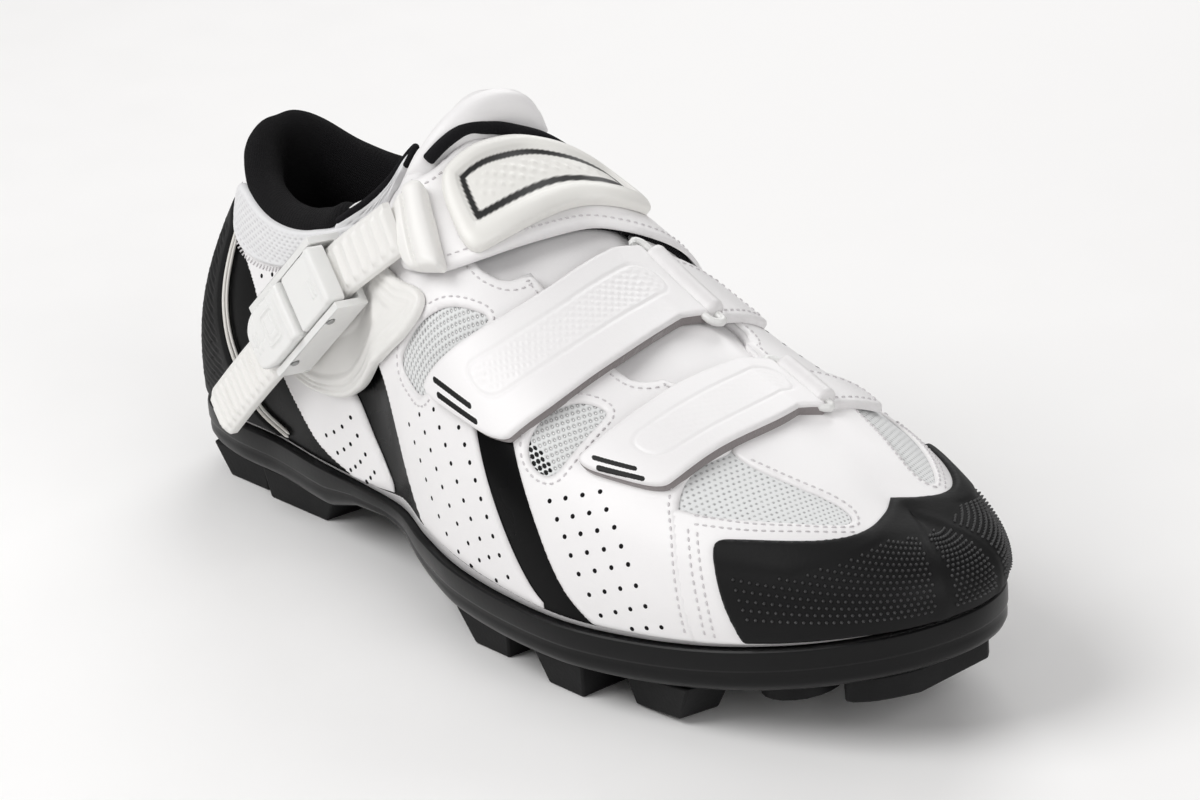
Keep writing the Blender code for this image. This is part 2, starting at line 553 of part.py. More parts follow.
def make_tread():
    for name, row in LUGS.items():
        tread_block(name, row, LUG_HEIGHT)
    for name, row in RAILS.items():
        tread_block(name, row, RAIL_HEIGHT)
    tread_pad("toe_lug", TOE_LUG, TOE_LUG_HEIGHT)
    tread_pad("arch_tread", ARCH_TREAD, TREAD_HEIGHT)
    for side, (x, y) in STUDS.items():
        x, y = x * LENGTH, y * BALL_WIDTH
        slope = math.atan2(underside(x + STUD_RADIUS) - underside(x - STUD_RADIUS), 2 * STUD_RADIUS)
        tilt = Matrix.Rotation(-slope, 4, "Y")
        place = Matrix.Translation((x, y, underside(x))) @ tilt
        hang = place @ Matrix.Translation((0, 0, -2 * SEAM_GAP - STUD_THICK / 2))
        disc = cylinder(f"stud_disc_{side}", STUD_RADIUS, STUD_THICK, hang, "rubber")
        cut(disc, cylinder(f"stud_hole_{side}", STUD_INSERT_RADIUS + SEAM_GAP, 2 * STUD_THICK, hang))
        insert = cylinder(f"stud_insert_{side}", STUD_INSERT_RADIUS, STUD_THICK, hang, "steel", segments=12)
        cut(insert, cylinder(f"stud_bore_{side}", STUD_BORE_RADIUS, 3 * STUD_THICK, hang, segments=12))


def make_insole():
    """A thin bed inside the upper, its edge turned up a little."""
    stations = np.linspace(0, TOE, 24)
    sides = []
    for sign in (-1, 1):
        base, outward = feather(sign * stations)
        sides.append(base - INSOLE_INSET * outward)
    share = np.linspace(0, 1, 5)[None, :, None]
    bed = sides[0][:, None] + share * (sides[1] - sides[0])[:, None]
    turn_up = np.sin(math.pi * stations / TOE)[:, None] * np.abs(2 * share[..., 0] - 1) ** 3
    rise = INSOLE_THICK * (1 + 0.5 * turn_up)
    upper = bed + np.stack([0 * rise, 0 * rise, rise], -1)
    between("insole", upper, bed, "knit", 2e-5)


def throat_edge(place):
    """The share of the way up the wall where the upper ends."""
    station = np.abs((np.asarray(place) + TOE) % RING - TOE)
    table = np.array(THROAT)
    return np.interp(station, table[:, 0], table[:, 1])


def make_upper():
    """One hollow wall, open at the collar and throat and underneath."""
    heights = UPPER_HEIGHTS[:, None] * throat_edge(UPPER_PLACES)
    shell("upper", surface(UPPER_PLACES + 0 * heights, heights), UPPER_WALL, "synthetic", True)


def make_overlays():
    cap = np.array(TOE_CAP)
    places = UPPER_PLACES[np.abs(UPPER_PLACES - TOE) < TOE - TOE_CAP_REAR]
    top = np.interp(TOE - np.abs(places - TOE), cap[:, 0], cap[:, 1])
    heights = np.clip(UPPER_HEIGHTS[:, None], PANEL_FOOT, top)
    shell("toe_cap", surface(places + 0 * heights, heights, SEAM_GAP + CAP_THICK), CAP_THICK, "rubber")
    counter = np.array(COUNTER_REACH)
    heights = np.linspace(counter[0, 0], counter[-1, 0], 9)[:, None]
    places = np.interp(heights, counter[:, 0], counter[:, 1]) * np.linspace(-1, 1, 31)
    shell("heel_counter", surface(places, heights + 0 * places, COUNTER_LIFT + CAP_THICK), CAP_THICK, "rubber")
    strip("collar_cuff_lateral", CUFF_LATERAL, CUFF_LIFT, CUFF_THICK, "mesh", 23, 4)
    strip("collar_cuff_medial", mirrored(CUFF_LATERAL), CUFF_LIFT, CUFF_THICK, "mesh", 23, 4)
    for name, rows in (PANELS_LATERAL | PANELS_MEDIAL).items():
        strip(name, rows, SEAM_GAP, OVERLAY, "synthetic", 9, 5)
    strip("vamp_overlay", VAMP_OVERLAY, SEAM_GAP, OVERLAY, "synthetic", 7, 11)


def make_collar_padding():
    """The padded lining: thickest below the edge, rounded where it rolls over the collar."""
    places = np.linspace(-1, 1, 25) * 6.0
    share = np.linspace(0, 1, 7)[:, None]
    heights = 0.52 + share * 0.51 + 0 * places
    fade = np.sqrt(np.clip(1 - np.abs(places / 6.0) ** 6, 0.12, 1))
    bow = 0.25 + 0.75 * np.sin(math.pi * share ** 1.4) ** 0.6
    depth = UPPER_WALL + 2 * SEAM_GAP
    outer = surface(places + 0 * share, heights, -depth + 0 * heights)
    inner = surface(places + 0 * share, heights, -depth - PADDING * bow * fade)
    between("collar_padding", outer, inner, "knit")


def make_tongue():
    """Under the throat and up out of it, ending in a soft dome."""
    rows = along_table(TONGUE, np.linspace(0, 1, 15))
    share = np.linspace(-1, 1, 11)
    sheet = over(rows[:, :1] + 0 * share, 1 + rows[:, 1:] * share, -UPPER_WALL - TONGUE_GAP)
    last = sheet[-1]
    middle = last[len(share) // 2]
    edge = middle + along_table(TONGUE_EDGE, (share + 1) / 2) * TONGUE_STAND
    rise = np.linspace(0, 1, 7)[1:, None, None]
    sheet = np.concatenate([sheet, last + rise * (edge - last)])[::-1]
    shell("tongue", sheet, TONGUE_THICK, "synthetic")


def make_straps():
    strip("instep_strap", INSTEP_STRAP, STRAP_LIFT, STRAP_THICK, "synthetic", 19, 5)
    badge_lift = STRAP_LIFT + STRAP_THICK + SEAM_GAP
    strip("strap_badge", STRAP_BADGE, badge_lift, BADGE_THICK, "soft_plastic", 13, 5)
    strip("middle_strap", MIDDLE_STRAP, STRAP_LIFT, STRAP_THICK, "synthetic", 21, 4)
    strip("lower_strap", LOWER_STRAP, STRAP_LIFT, STRAP_THICK, "synthetic", 21, 4)


def make_rings():
    """The rings of the two lower straps, each held by a keeper on the medial side."""
    for name, (rear, front, sweep) in RINGS.items():
        ends = [Vector(over(station, sweep, STRAP_LIFT + RING_RADIUS)) for station in (rear, front)]
        along = ends[1] - ends[0]
        turn = along.to_track_quat("Z", "Y").to_matrix().to_4x4()
        place = Matrix.Translation((ends[0] + ends[1]) / 2) @ turn
        cylinder(f"{name}_ring", RING_RADIUS, along.length, place, "steel", segments=12)
        near = sweep + RING_CLEAR
        far = sweep + KEEPER_REACH
        rows = ((rear + 0.2, near, front - 0.2, near), (rear + 0.3, far, front - 0.3, far))
        strip(f"{name}_keeper", rows, STRAP_LIFT, KEEPER_THICK, "synthetic", 7, 3)


def buckle_frame():
    """An empty at the buckle: x down the ladder, z out from the upper, and the wing's highest point there."""
    centre = Vector(over(*BUCKLE_PLACE, WING_TOP))
    start = Vector(over(*LADDER_START, WING_TOP))
    station, sweep = BUCKLE_PLACE
    side = Vector(over(station + SLOPE_STEP, sweep) - over(station - SLOPE_STEP, sweep))
    rise = Vector(over(station, sweep + SLOPE_STEP) - over(station, sweep - SLOPE_STEP))
    normal = side.cross(rise).normalized()
    x_axis = (centre - start).normalized()
    z_axis = (normal - normal.dot(x_axis) * x_axis).normalized()
    y_axis = z_axis.cross(x_axis)
    turn = Matrix((x_axis, y_axis, z_axis)).transposed().to_4x4()
    stations, sweeps = np.meshgrid(np.linspace(4.0, 7.6, 60), np.linspace(0.25, 0.85, 60))
    near = over(stations.ravel(), sweeps.ravel(), WING_TOP) - np.array(centre)
    local = near @ np.array(turn.to_3x3())
    inside = (np.abs(local[:, 0]) < BUCKLE_LENGTH / 2) & (np.abs(local[:, 1]) < BUCKLE_WIDTH / 2)
    seat = float(local[inside, 2].max()) + SEAM_GAP
    made = bpy.data.objects.new("buckle_frame", None)
    PARTS.objects.link(made)
    made.matrix_world = Matrix.Translation(centre + seat * z_axis) @ turn
    return made


def ladder_band(low):
    """A band with saw teeth across its outer face, along LADDER_PATH."""
    count = int(LADDER_REACH * (LADDER_PATH[-1][0] - LADDER_PATH[0][0]) / LADDER_PITCH)
    steps = (np.arange(count)[:, None] + np.array([0.0, 0.8])).ravel() / count
    steps = np.append(steps, 1.0)
    path = along_table(LADDER_PATH, steps) * LADDER_REACH
    heading = np.gradient(path, axis=0)
    across = np.stack([-heading[:, 1], heading[:, 0], 0 * heading[:, 0]], -1)
    across /= np.linalg.norm(across, axis=1, keepdims=True)
    shares = np.array([-0.5, -0.36, 0.36, 0.5])
    lower = path[:, None] + shares[:, None] * across[:, None] * LADDER_WIDTH + np.array([0, 0, low])
    tooth = np.append(np.tile([0.0, 1.0], count), 0.0)[:, None] * (np.abs(shares) < 0.5)
    lift = np.zeros(lower.shape)
    lift[..., 2] = LADDER_THICK + LADDER_TOOTH * tooth
    return between("ladder_strap", lower + lift, lower, "soft_plastic")


def make_buckle():
    strip("buckle_base", BUCKLE_BASE, WING_TOP - WING_THICK, WING_THICK, "soft_plastic", 9, 5)
    strip("ladder_bracket", BRACKET, STRAP_LIFT + STRAP_THICK + SEAM_GAP, BRACKET_THICK, "soft_plastic", 7, 5)
    frame = buckle_frame()
    half_l, half_w = BUCKLE_LENGTH / 2, BUCKLE_WIDTH / 2
    body = box("buckle_body", (-half_l, -half_w, 0), (half_l, half_w, BUCKLE_HEIGHT), "hard_plastic", frame)
    channel = box_cutter("channel", (-half_l - CUT_PAST, -half_w + BUCKLE_WALL, BUCKLE_WALL),
                         (half_l + CUT_PAST, half_w - BUCKLE_WALL, BUCKLE_HEIGHT + CUT_PAST))
    channel.parent = frame
    cut(body, channel)
    ladder_low = BUCKLE_WALL + SEAM_GAP
    ladder = ladder_band(ladder_low)
    ladder.parent = frame
    over_ladder = ladder_low + LADDER_THICK + LADDER_TOOTH + SEAM_GAP
    inner = half_w - BUCKLE_WALL - SEAM_GAP
    top = (-LEVER_GAP, inner, BUCKLE_HEIGHT + COVER_STAND)
    cover = box("buckle_cover", (-half_l, -inner, over_ladder), top, "hard_plastic", frame, COVER_BEVEL)
    tip = (half_l + LEVER_OVERHANG, inner, BUCKLE_HEIGHT + LEVER_STAND)
    lever = box("buckle_lever", (0, -inner, over_ladder), tip, "hard_plastic", frame, LEVER_BEVEL)
    for name, target, place in (("cover", cover, -BUCKLE_PIN_PLACE), ("lever", lever, BUCKLE_PIN_PLACE)):
        middle = Matrix.Translation((place * BUCKLE_LENGTH, 0, BUCKLE_PIN_HEIGHT * BUCKLE_HEIGHT))
        middle = middle @ Matrix.Rotation(math.pi / 2, 4, "X")
        for owner in (body, target):
            bore_name = f"{owner.name}_{name}_bore"
            bore = cylinder(bore_name, BUCKLE_PIN_RADIUS + SEAM_GAP / 2, 2 * BUCKLE_WIDTH, middle, segments=12)
            bore.parent = frame
            cut(owner, bore)
        pin_length = BUCKLE_WIDTH + 2 * SEAM_GAP
        pin = cylinder(f"{name}_pin", BUCKLE_PIN_RADIUS, pin_length, middle, "steel", segments=12)
        pin.parent = frame


def stand_on_origin():
    """Moves the shoe so that the origin is under the middle of its box."""
    bpy.context.view_layer.update()
    graph = bpy.context.evaluated_depsgraph_get()
    corners = []
    for item in PARTS.objects:
        if item.type == "MESH":
            seen = item.evaluated_get(graph)
            corners += [seen.matrix_world @ Vector(corner) for corner in seen.bound_box]
    corners = np.array(corners)
    middle = (corners.min(0) + corners.max(0)) / 2
    shift = Vector((-middle[0], -middle[1], -corners[:, 2].min()))
    for item in bpy.data.objects:
        if item.parent is None:
            item.location += shift
    print("shift", tuple(round(value, 5) for value in shift))


FINISHES = {
    "synthetic": ((0.82, 0.82, 0.83), 0.45),
    "mesh": ((0.75, 0.75, 0.76), 0.8),
    "knit": ((0.02, 0.02, 0.022), 0.9),
    "rubber": ((0.018, 0.018, 0.02), 0.6),
    "nylon": ((0.012, 0.012, 0.013), 0.3),
    "hard_plastic": ((0.80, 0.80, 0.80), 0.3),
    "soft_plastic": ((0.80, 0.80, 0.80), 0.4),
    "steel": ((0.6, 0.6, 0.6), 0.3, 1.0),
}

clear_scene()
PARTS = bpy.data.collections.new("cycling_shoe")
CUTTERS = bpy.data.collections.new("cutters")
bpy.context.scene.collection.children.link(PARTS)
bpy.context.scene.collection.children.link(CUTTERS)
make_sole()
make_tread()
make_insole()
make_upper()
make_overlays()
make_collar_padding()
make_tongue()
make_straps()
make_rings()
make_buckle()
stand_on_origin()
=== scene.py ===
import math

import bmesh
import bpy
import numpy as np
from mathutils import Matrix, Vector


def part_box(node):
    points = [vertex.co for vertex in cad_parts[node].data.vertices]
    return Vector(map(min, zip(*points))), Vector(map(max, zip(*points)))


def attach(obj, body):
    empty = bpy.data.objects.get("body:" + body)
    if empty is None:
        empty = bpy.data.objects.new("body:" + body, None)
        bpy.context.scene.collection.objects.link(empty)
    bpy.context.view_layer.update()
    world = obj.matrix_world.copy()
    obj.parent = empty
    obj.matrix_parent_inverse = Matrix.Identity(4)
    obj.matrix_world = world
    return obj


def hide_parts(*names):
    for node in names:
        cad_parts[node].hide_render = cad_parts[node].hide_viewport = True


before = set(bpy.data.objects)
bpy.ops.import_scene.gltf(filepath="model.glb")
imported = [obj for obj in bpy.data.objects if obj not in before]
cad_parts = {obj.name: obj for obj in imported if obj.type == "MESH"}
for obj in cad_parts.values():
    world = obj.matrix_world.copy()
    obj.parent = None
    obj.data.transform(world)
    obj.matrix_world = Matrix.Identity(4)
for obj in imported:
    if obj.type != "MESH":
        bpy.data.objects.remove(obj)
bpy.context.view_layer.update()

# ---------------------------------------------------------------- camera, light and floor
view = dict(eye=(0.7838, -0.6552, 0.4960), target=(0.0055, 0.0100, 0.0488), roll=-4.44, lens=131.0)
studio = dict(floorColour=(0.94, 0.935, 0.93), floorSize=6.0, world=0.26, worldTint=(1.0, 0.985, 0.98, 1),
              exposure=0.30, middle=(0, 0, 0.05))
# place, diameter and power of each light
lights = dict(key=((-0.35, -0.75, 0.95), 0.9, 7.8), fill=((1.1, -0.15, 0.55), 0.9, 3.8),
              rim=((-0.5, 0.8, 0.8), 0.8, 3.8))


def aim(item, eye, target, roll=0.0):
    # the local Z axis looks back from target to eye, X is level and then rolled
    back = (Vector(eye) - Vector(target)).normalized()
    level = Vector((0, 0, 1)).cross(back).normalized()
    side = level * math.cos(math.radians(roll)) + back.cross(level) * math.sin(math.radians(roll))
    upward = back.cross(side)
    rows = [(side[i], upward[i], back[i], eye[i]) for i in range(3)] + [(0, 0, 0, 1)]
    item.matrix_world = Matrix(rows)


def softLight(name, eye, size, power):
    data = bpy.data.lights.new(name, "AREA")
    data.shape, data.size, data.energy = "DISK", size, power
    item = bpy.data.objects.new(name, data)
    bpy.context.scene.collection.objects.link(item)
    aim(item, eye, studio["middle"])


cameraData = bpy.data.cameras.new("camera")
cameraData.lens, cameraData.sensor_width = view["lens"], 36.0
cameraData.clip_start = 0.01
camera = bpy.data.objects.new("camera", cameraData)
bpy.context.scene.collection.objects.link(camera)
aim(camera, view["eye"], view["target"], view["roll"])
bpy.context.scene.camera = camera
for name, light in lights.items():
    softLight(name, *light)
world = bpy.data.worlds.new("studio")
world.use_nodes = True
world.node_tree.nodes["Background"].inputs["Color"].default_value = studio["worldTint"]
world.node_tree.nodes["Background"].inputs["Strength"].default_value = studio["world"]
bpy.context.scene.world = world
bpy.context.scene.view_settings.view_transform = "Standard"
bpy.context.scene.view_settings.exposure = studio["exposure"]

# ---------------------------------------------------------------- the last
last = dict(
    length=0.277, ball=0.092, soleHeight=0.022, toeSpring=0.012, collarRise=0.075, instepRise=0.088,
    bulge=0.003, rim=0.0022, lugHeight=0.010, archHeight=0.006,
)
# x, medial, lateral, spring, top x, top medial, top lateral, collar, instep, full, closed, bulge
stationTable = np.array((
    (0.000, 0.00, 0.00, 0.00, 0.078, 0.000, 0.000, 1.00, 0.00, 1.00, 0.0, 1.6),
    (0.011, 0.14, 0.13, 0.00, 0.083, 0.070, 0.070, 1.00, 0.00, 1.00, 0.0, 1.6),
    (0.043, 0.26, 0.24, 0.00, 0.099, 0.140, 0.140, 0.96, 0.00, 1.00, 0.0, 1.5),
    (0.101, 0.33, 0.29, 0.00, 0.133, 0.205, 0.205, 0.88, 0.00, 1.00, 0.0, 1.3),
    (0.173, 0.32, 0.30, 0.00, 0.188, 0.250, 0.250, 0.84, 0.00, 1.00, 0.0, 1.0),
    (0.245, 0.29, 0.33, 0.00, 0.253, 0.261, 0.272, 0.88, 0.00, 1.00, 0.0, 1.0),
    (0.318, 0.28, 0.35, 0.00, 0.310, 0.239, 0.250, 1.01, 0.00, 0.95, 0.15, 1.0),
    (0.390, 0.28, 0.38, 0.00, 0.361, 0.054, -0.054, 0.00, 1.10, 0.82, 1.0, 1.0),
    (0.455, 0.29, 0.46, 0.00, 0.408, 0.054, -0.054, 0.00, 1.00, 0.80, 1.0, 1.0),
    (0.527, 0.36, 0.53, 0.00, 0.484, 0.065, -0.065, 0.00, 0.86, 0.77, 1.0, 1.0),
    (0.606, 0.41, 0.565, 0.00, 0.563, 0.065, -0.065, 0.00, 0.71, 0.80, 1.0, 1.0),
    (0.686, 0.435, 0.565, 0.00, 0.639, 0.065, -0.065, 0.00, 0.60, 0.85, 1.0, 1.0),
    (0.765, 0.43, 0.52, 0.08, 0.715, 0.060, -0.060, 0.00, 0.52, 0.88, 1.0, 1.0),
    (0.838, 0.39, 0.455, 0.25, 0.783, 0.050, -0.050, 0.00, 0.435, 0.90, 1.0, 1.0),
    (0.903, 0.32, 0.37, 0.50, 0.845, 0.040, -0.040, 0.00, 0.34, 0.90, 1.0, 0.9),
    (0.953, 0.24, 0.27, 0.75, 0.888, 0.030, -0.030, 0.00, 0.25, 0.90, 1.0, 0.8),
    (0.986, 0.14, 0.15, 0.92, 0.910, 0.020, -0.020, 0.00, 0.195, 0.90, 1.0, 0.8),
    (1.000, 0.00, 0.00, 1.00, 0.921, 0.010, -0.010, 0.00, 0.165, 0.90, 1.0, 0.8),
))
toe = len(stationTable) - 1
ringCount = 2 * toe
# share of the length and share of the arch's height
archTable = np.array(((0, 0), (0.26, 0), (0.31, 0.75), (0.36, 1), (0.41, 0.85), (0.47, 0.2), (0.52, 0),
                     (1, 0)))
# station and the height of the upper wall there, 1 at the collar or ridge
throatTable = np.array((
    (0.0, 1.0), (6.0, 1.0), (6.3, 0.91), (6.6, 0.77), (7.0, 0.67), (7.5, 0.70), (8.0, 0.77), (9.0, 0.80),
    (10.0, 0.80), (11.0, 0.82), (12.0, 0.88), (12.7, 1.0), (17.0, 1.0),
))
# dips of the throat that show the tongue between the straps: middle station, half length, depth
throatDips = ((8.80, 0.50, 0.105), (10.92, 0.34, 0.045))


def unit(rows):
    return rows / np.maximum(np.linalg.norm(rows, axis=-1, keepdims=True), 1e-12)


def ringColumn(medial, lateral=None):
    # one value for each station, heel to toe on the medial side and back along the lateral side
    first = stationTable[:, medial]
    other = first if lateral is None else -stationTable[:, lateral]
    return np.concatenate([first, other[toe - 1:0:-1]])


ring = dict(
    x=ringColumn(0) * last["length"], y=ringColumn(1, 2) * last["ball"],
    spring=ringColumn(3) * last["toeSpring"],
    topX=ringColumn(4) * last["length"], topY=ringColumn(5, 6) * last["ball"],
    rise=ringColumn(7) * last["collarRise"] + ringColumn(8) * last["instepRise"],
    full=ringColumn(9), closed=ringColumn(10), bulge=ringColumn(11) * last["bulge"],
)


def cubicStep(a, b, c, d, f):
    return b + 0.5 * f * (c - a + f * (2 * a - 5 * b + 4 * c - d + f * (3 * (b - c) + d - a)))


def roundRing(name, place):
    # a closed cubic through the ring's values; place counts stations and is minus on the lateral side
    values = ring[name]
    place = np.asarray(place, float)
    index = np.floor(place).astype(int)
    return cubicStep(*(values[(index + k) % ringCount] for k in (-1, 0, 1, 2)), place - index)


def alongRows(rows, share):
    # rows of a table followed by a cubic, share 0 at the first row and 1 at the last
    rows = np.asarray(rows, float)
    rows = np.concatenate([[2 * rows[0] - rows[1]], rows, [2 * rows[-1] - rows[-2]]])
    place = np.asarray(share, float) * (len(rows) - 3)
    index = np.minimum(np.floor(place).astype(int), len(rows) - 4)
    return cubicStep(*(rows[index + k] for k in range(4)), (place - index)[..., None])


def featherLine(place):
    step = 0.01
    x, y = roundRing("x", place), roundRing("y", place)
    dx = roundRing("x", place + step) - roundRing("x", place - step)
    dy = roundRing("y", place + step) - roundRing("y", place - step)
    size = np.hypot(dx, dy)
    z = last["soleHeight"] + roundRing("spring", place)
    return np.stack([x, y, z], -1), np.stack([-dy / size, dx / size, 0 * size], -1)


def lastSkin(place, height):
    # from the feather line to the collar or ridge: straight where open, sine and cosine powers where closed
    base, outward = featherLine(place)
    topZ = base[..., 2] + roundRing("rise", place)
    top = np.stack([roundRing("topX", place), roundRing("topY", place), topZ], -1)
    closed = np.clip(roundRing("closed", place), 0, 1)
    full = roundRing("full", place)
    angle = np.clip(height, 0, 1) * math.pi / 2
    inward = (1 - closed) * height + closed * (1 - np.abs(np.cos(angle)) ** full)
    upward = (1 - closed) * height + closed * np.sin(angle) ** full
    swell = roundRing("bulge", place) * np.sin(math.pi * np.clip(1.25 * height, 0, 1))
    return base + (top - base) * np.stack([inward, inward, upward], -1) + outward * swell[..., None]


def skinNormal(place, height):
    step = 0.01
    inside = np.clip(height, 2 * step, 1 - 2 * step)
    along = lastSkin(place + step, inside) - lastSkin(place - step, inside)
    up = lastSkin(place, inside + step) - lastSkin(place, inside - step)
    return unit(np.cross(up, along))


def onRing(place, height, lift=0.0):
    # a point of the skin moved out along its normal; at the ridge both sides share one normal
    place, height = np.broadcast_arrays(np.asarray(place, float), np.asarray(height, float))
    normal = skinNormal(place, height)
    ridge = 0.5 * np.clip((height - 0.85) / 0.15, 0, 1) * np.clip(roundRing("closed", place), 0, 1)
    normal = unit(normal + ridge[..., None] * (skinNormal(-place, height) - normal))
    return lastSkin(place, height) + normal * np.asarray(lift)[..., None] + shift


def onShoe(station, sweep, lift=0.0):
    # sweep 0 is the lateral feather line, 1 the ridge, 2 the medial feather line
    station, sweep = np.broadcast_arrays(np.asarray(station, float), np.asarray(sweep, float))
    lateral = sweep <= 1
    return onRing(np.where(lateral, -station, station), np.where(lateral, sweep, 2 - sweep), lift)


shift = np.zeros(3)
soleEdge = np.concatenate([
    base + last["rim"] * outward
    for base, outward in (featherLine(sign * np.linspace(0, toe, 41)) for sign in (1, -1))
])
soleLow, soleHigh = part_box("sole_plate")
shift[:2] = (np.array(soleLow) + np.array(soleHigh))[:2] / 2 - (soleEdge.min(0) + soleEdge.max(0))[:2] / 2
stationGrid = np.linspace(0, toe, 40 * toe + 1)
stationX = roundRing("x", stationGrid)


def springAt(x):
    return np.maximum(roundRing("spring", np.interp(x, stationX, stationGrid)), 0)


def underside(x):
    arch = np.interp(x / last["length"], archTable[:, 0], archTable[:, 1])
    return last["lugHeight"] + springAt(x) + last["archHeight"] * arch


def throatHeight(station):
    # the table's height, with each dip taken out as a half ellipse
    height = np.interp(station, throatTable[:, 0], throatTable[:, 1])
    for middle, half, depth in throatDips:
        height = height - depth * np.clip(1 - ((station - middle) / half) ** 2, 0, 1) ** 0.5
    return height


# ---------------------------------------------------------------- flat maps: metres on a cut sheet to the shoe
perStation, perSweep = 0.0163, 0.075
flatScale = np.array([perStation, perSweep])
toeStation, toeRise = 0.019, 0.042
heelStation, heelRise = 0.0150, 0.075


def wrapMap(x, y, lift):
    return onShoe(x / perStation, y / perSweep, lift)


def toeMap(x, y, lift):
    return onRing(toe + x / toeStation, np.clip(y / toeRise, 0, 1), lift)


def heelMap(x, y, lift):
    return onRing(x / heelStation, y / heelRise, lift)


def soleMap(x, y, lift):
    return np.stack([x, y, underside(x) - lift], -1) + shift


def softMap(loop, blur, step=0.0008, reach=12):
    # the wrap map averaged over blur metres, for stiff pieces that bridge the ridge
    low, high = loop.min(0) - reach * step, loop.max(0) + reach * step
    spans = [np.arange(low[k], high[k], step) for k in (0, 1)]
    gridX, gridY = np.meshgrid(*spans, indexing="ij")
    base = wrapMap(gridX, gridY, 0 * gridX)
    rows = np.concatenate([base, wrapMap(gridX, gridY, 0 * gridX + 0.01) - base], -1)
    weight = np.exp(-0.5 * (np.arange(-reach, reach + 1) * step / blur) ** 2)
    weight /= weight.sum()
    for axis in (0, 1):
        padded = np.pad(rows, [(reach, reach) if k == axis else (0, 0) for k in range(3)], mode="edge")
        count = rows.shape[axis]
        rows = sum(w * np.take(padded, np.arange(k, k + count), axis=axis) for k, w in enumerate(weight))

    def toSpace(x, y, lift):
        x, y = np.broadcast_arrays((x - low[0]) / step, (y - low[1]) / step)
        i = np.clip(np.floor(x).astype(int), 1, rows.shape[0] - 3)
        j = np.clip(np.floor(y).astype(int), 1, rows.shape[1] - 3)
        near = (-1, 0, 1, 2)
        columns = [cubicStep(*(rows[i + k, j + m] for m in near), (y - j)[..., None]) for k in near]
        found = cubicStep(*columns, (x - i)[..., None])
        return found[..., :3] + unit(found[..., 3:]) * np.asarray(lift)[..., None]
    return toSpace


def roundedLoop(points, scale=(perStation, perSweep)):
    # corners replaced with short curves: each point is station, sweep and the corner's size in millimetres
    rows = np.array([(p[0] * scale[0], p[1] * scale[1], (p[2] if len(p) > 2 else 2.0) * 0.001) for p in points])
    middle = rows[:, :2]
    before, after = np.roll(middle, 1, axis=0) - middle, np.roll(middle, -1, axis=0) - middle
    longBefore, longAfter = np.linalg.norm(before, axis=1), np.linalg.norm(after, axis=1)
    start = middle + before * (np.minimum(rows[:, 2], 0.5 * longBefore) / longBefore)[:, None]
    end = middle + after * (np.minimum(rows[:, 2], 0.5 * longAfter) / longAfter)[:, None]
    share = np.linspace(0, 1, 7)[None, :, None]
    curve = (1 - share) ** 2 * start[:, None] + share ** 2 * end[:, None]
    flat = (curve + 2 * share * (1 - share) * middle[:, None]).reshape(-1, 2)
    keep = np.linalg.norm(flat - np.roll(flat, 1, axis=0), axis=1) > 1e-6
    return flat[keep]


def evenLoop(loop, step, closed=True):
    # the same line with points at even distances
    line = np.concatenate([loop, loop[:1]]) if closed else np.asarray(loop)
    run = np.concatenate([[0], np.cumsum(np.linalg.norm(np.diff(line, axis=0), axis=1))])
    count = max(int(run[-1] / step), 3)
    at = np.linspace(0, run[-1], count + 1)[:count if closed else count + 1]
    return np.stack([np.interp(at, run, line[:, k]) for k in range(line.shape[1])], -1)


def insetLine(loop, gap, closed=True):
    # the line moved sideways by gap, inwards on a closed loop, to the left of its run on an open one
    even = evenLoop(loop, 0.0008, closed)
    if closed:
        ahead = np.roll(even, -3, axis=0) - np.roll(even, 3, axis=0)
    else:
        ahead = np.gradient(even, axis=0)
    side = unit(np.stack([-ahead[:, 1], ahead[:, 0]], -1))
    if closed:
        nextPoint = np.roll(even, -1, axis=0)
        area = np.sum(even[:, 0] * nextPoint[:, 1] - even[:, 1] * nextPoint[:, 0])
        side = side * np.sign(area)
    return even + gap * side


def mirrorLoop(loop):
    return np.stack([loop[:, 0], 2 * perSweep - loop[:, 1]], -1)[::-1]


def mirrorRows(rows):
    # the same corners on the medial side, in the opposite order
    return [(station, 2 - sweep, size) for station, sweep, size in rows[::-1]]


sides = (("lateral", lambda loop: loop), ("medial", mirrorLoop))


def borderDistance(points, loops):
    # distance to the nearest side of any loop, minus inside (odd number of crossings), and the nearest point
    best = np.full(len(points), 1e9)
    nearest = points.copy()
    inside = np.zeros(len(points), bool)
    for loop in loops:
        for a, b in zip(loop, np.roll(loop, -1, axis=0)):
            step = b - a
            share = np.clip((points - a) @ step / max(step @ step, 1e-18), 0, 1)
            near = a + share[:, None] * step
            gap = np.linalg.norm(points - near, axis=1)
            closer = gap < best
            best[closer], nearest[closer] = gap[closer], near[closer]
            crosses = (a[1] > points[:, 1]) != (b[1] > points[:, 1])
            inside ^= crosses & (points[:, 0] < a[0] + (points[:, 1] - a[1]) * step[0] / (step[1] or 1e-18))
    return np.where(inside, -best, best), nearest


# ---------------------------------------------------------------- meshes
def meshObject(name, points, faces, material, uv=None, values=None, sharp=60):
    mesh = bpy.data.meshes.new(name)
    mesh.from_pydata(np.asarray(points).reshape(-1, 3).tolist(), [], faces)
    mesh.validate()
    if uv is not None:
        corner = np.empty(len(mesh.loops), np.int32)
        mesh.loops.foreach_get("vertex_index", corner)
        layer = mesh.uv_layers.new(name="flat")
        layer.data.foreach_set("uv", uv[corner].astype(np.float32).ravel())
    for key, value in (values or {}).items():
        layer = mesh.attributes.new(key, "FLOAT", "POINT")
        layer.data.foreach_set("value", value.astype(np.float32))
    mesh.shade_smooth()
    mesh.set_sharp_from_angle(angle=math.radians(sharp))
    made = bpy.data.objects.new(name, mesh)
    bpy.context.scene.collection.objects.link(made)
    mesh.materials.append(material)
    return made


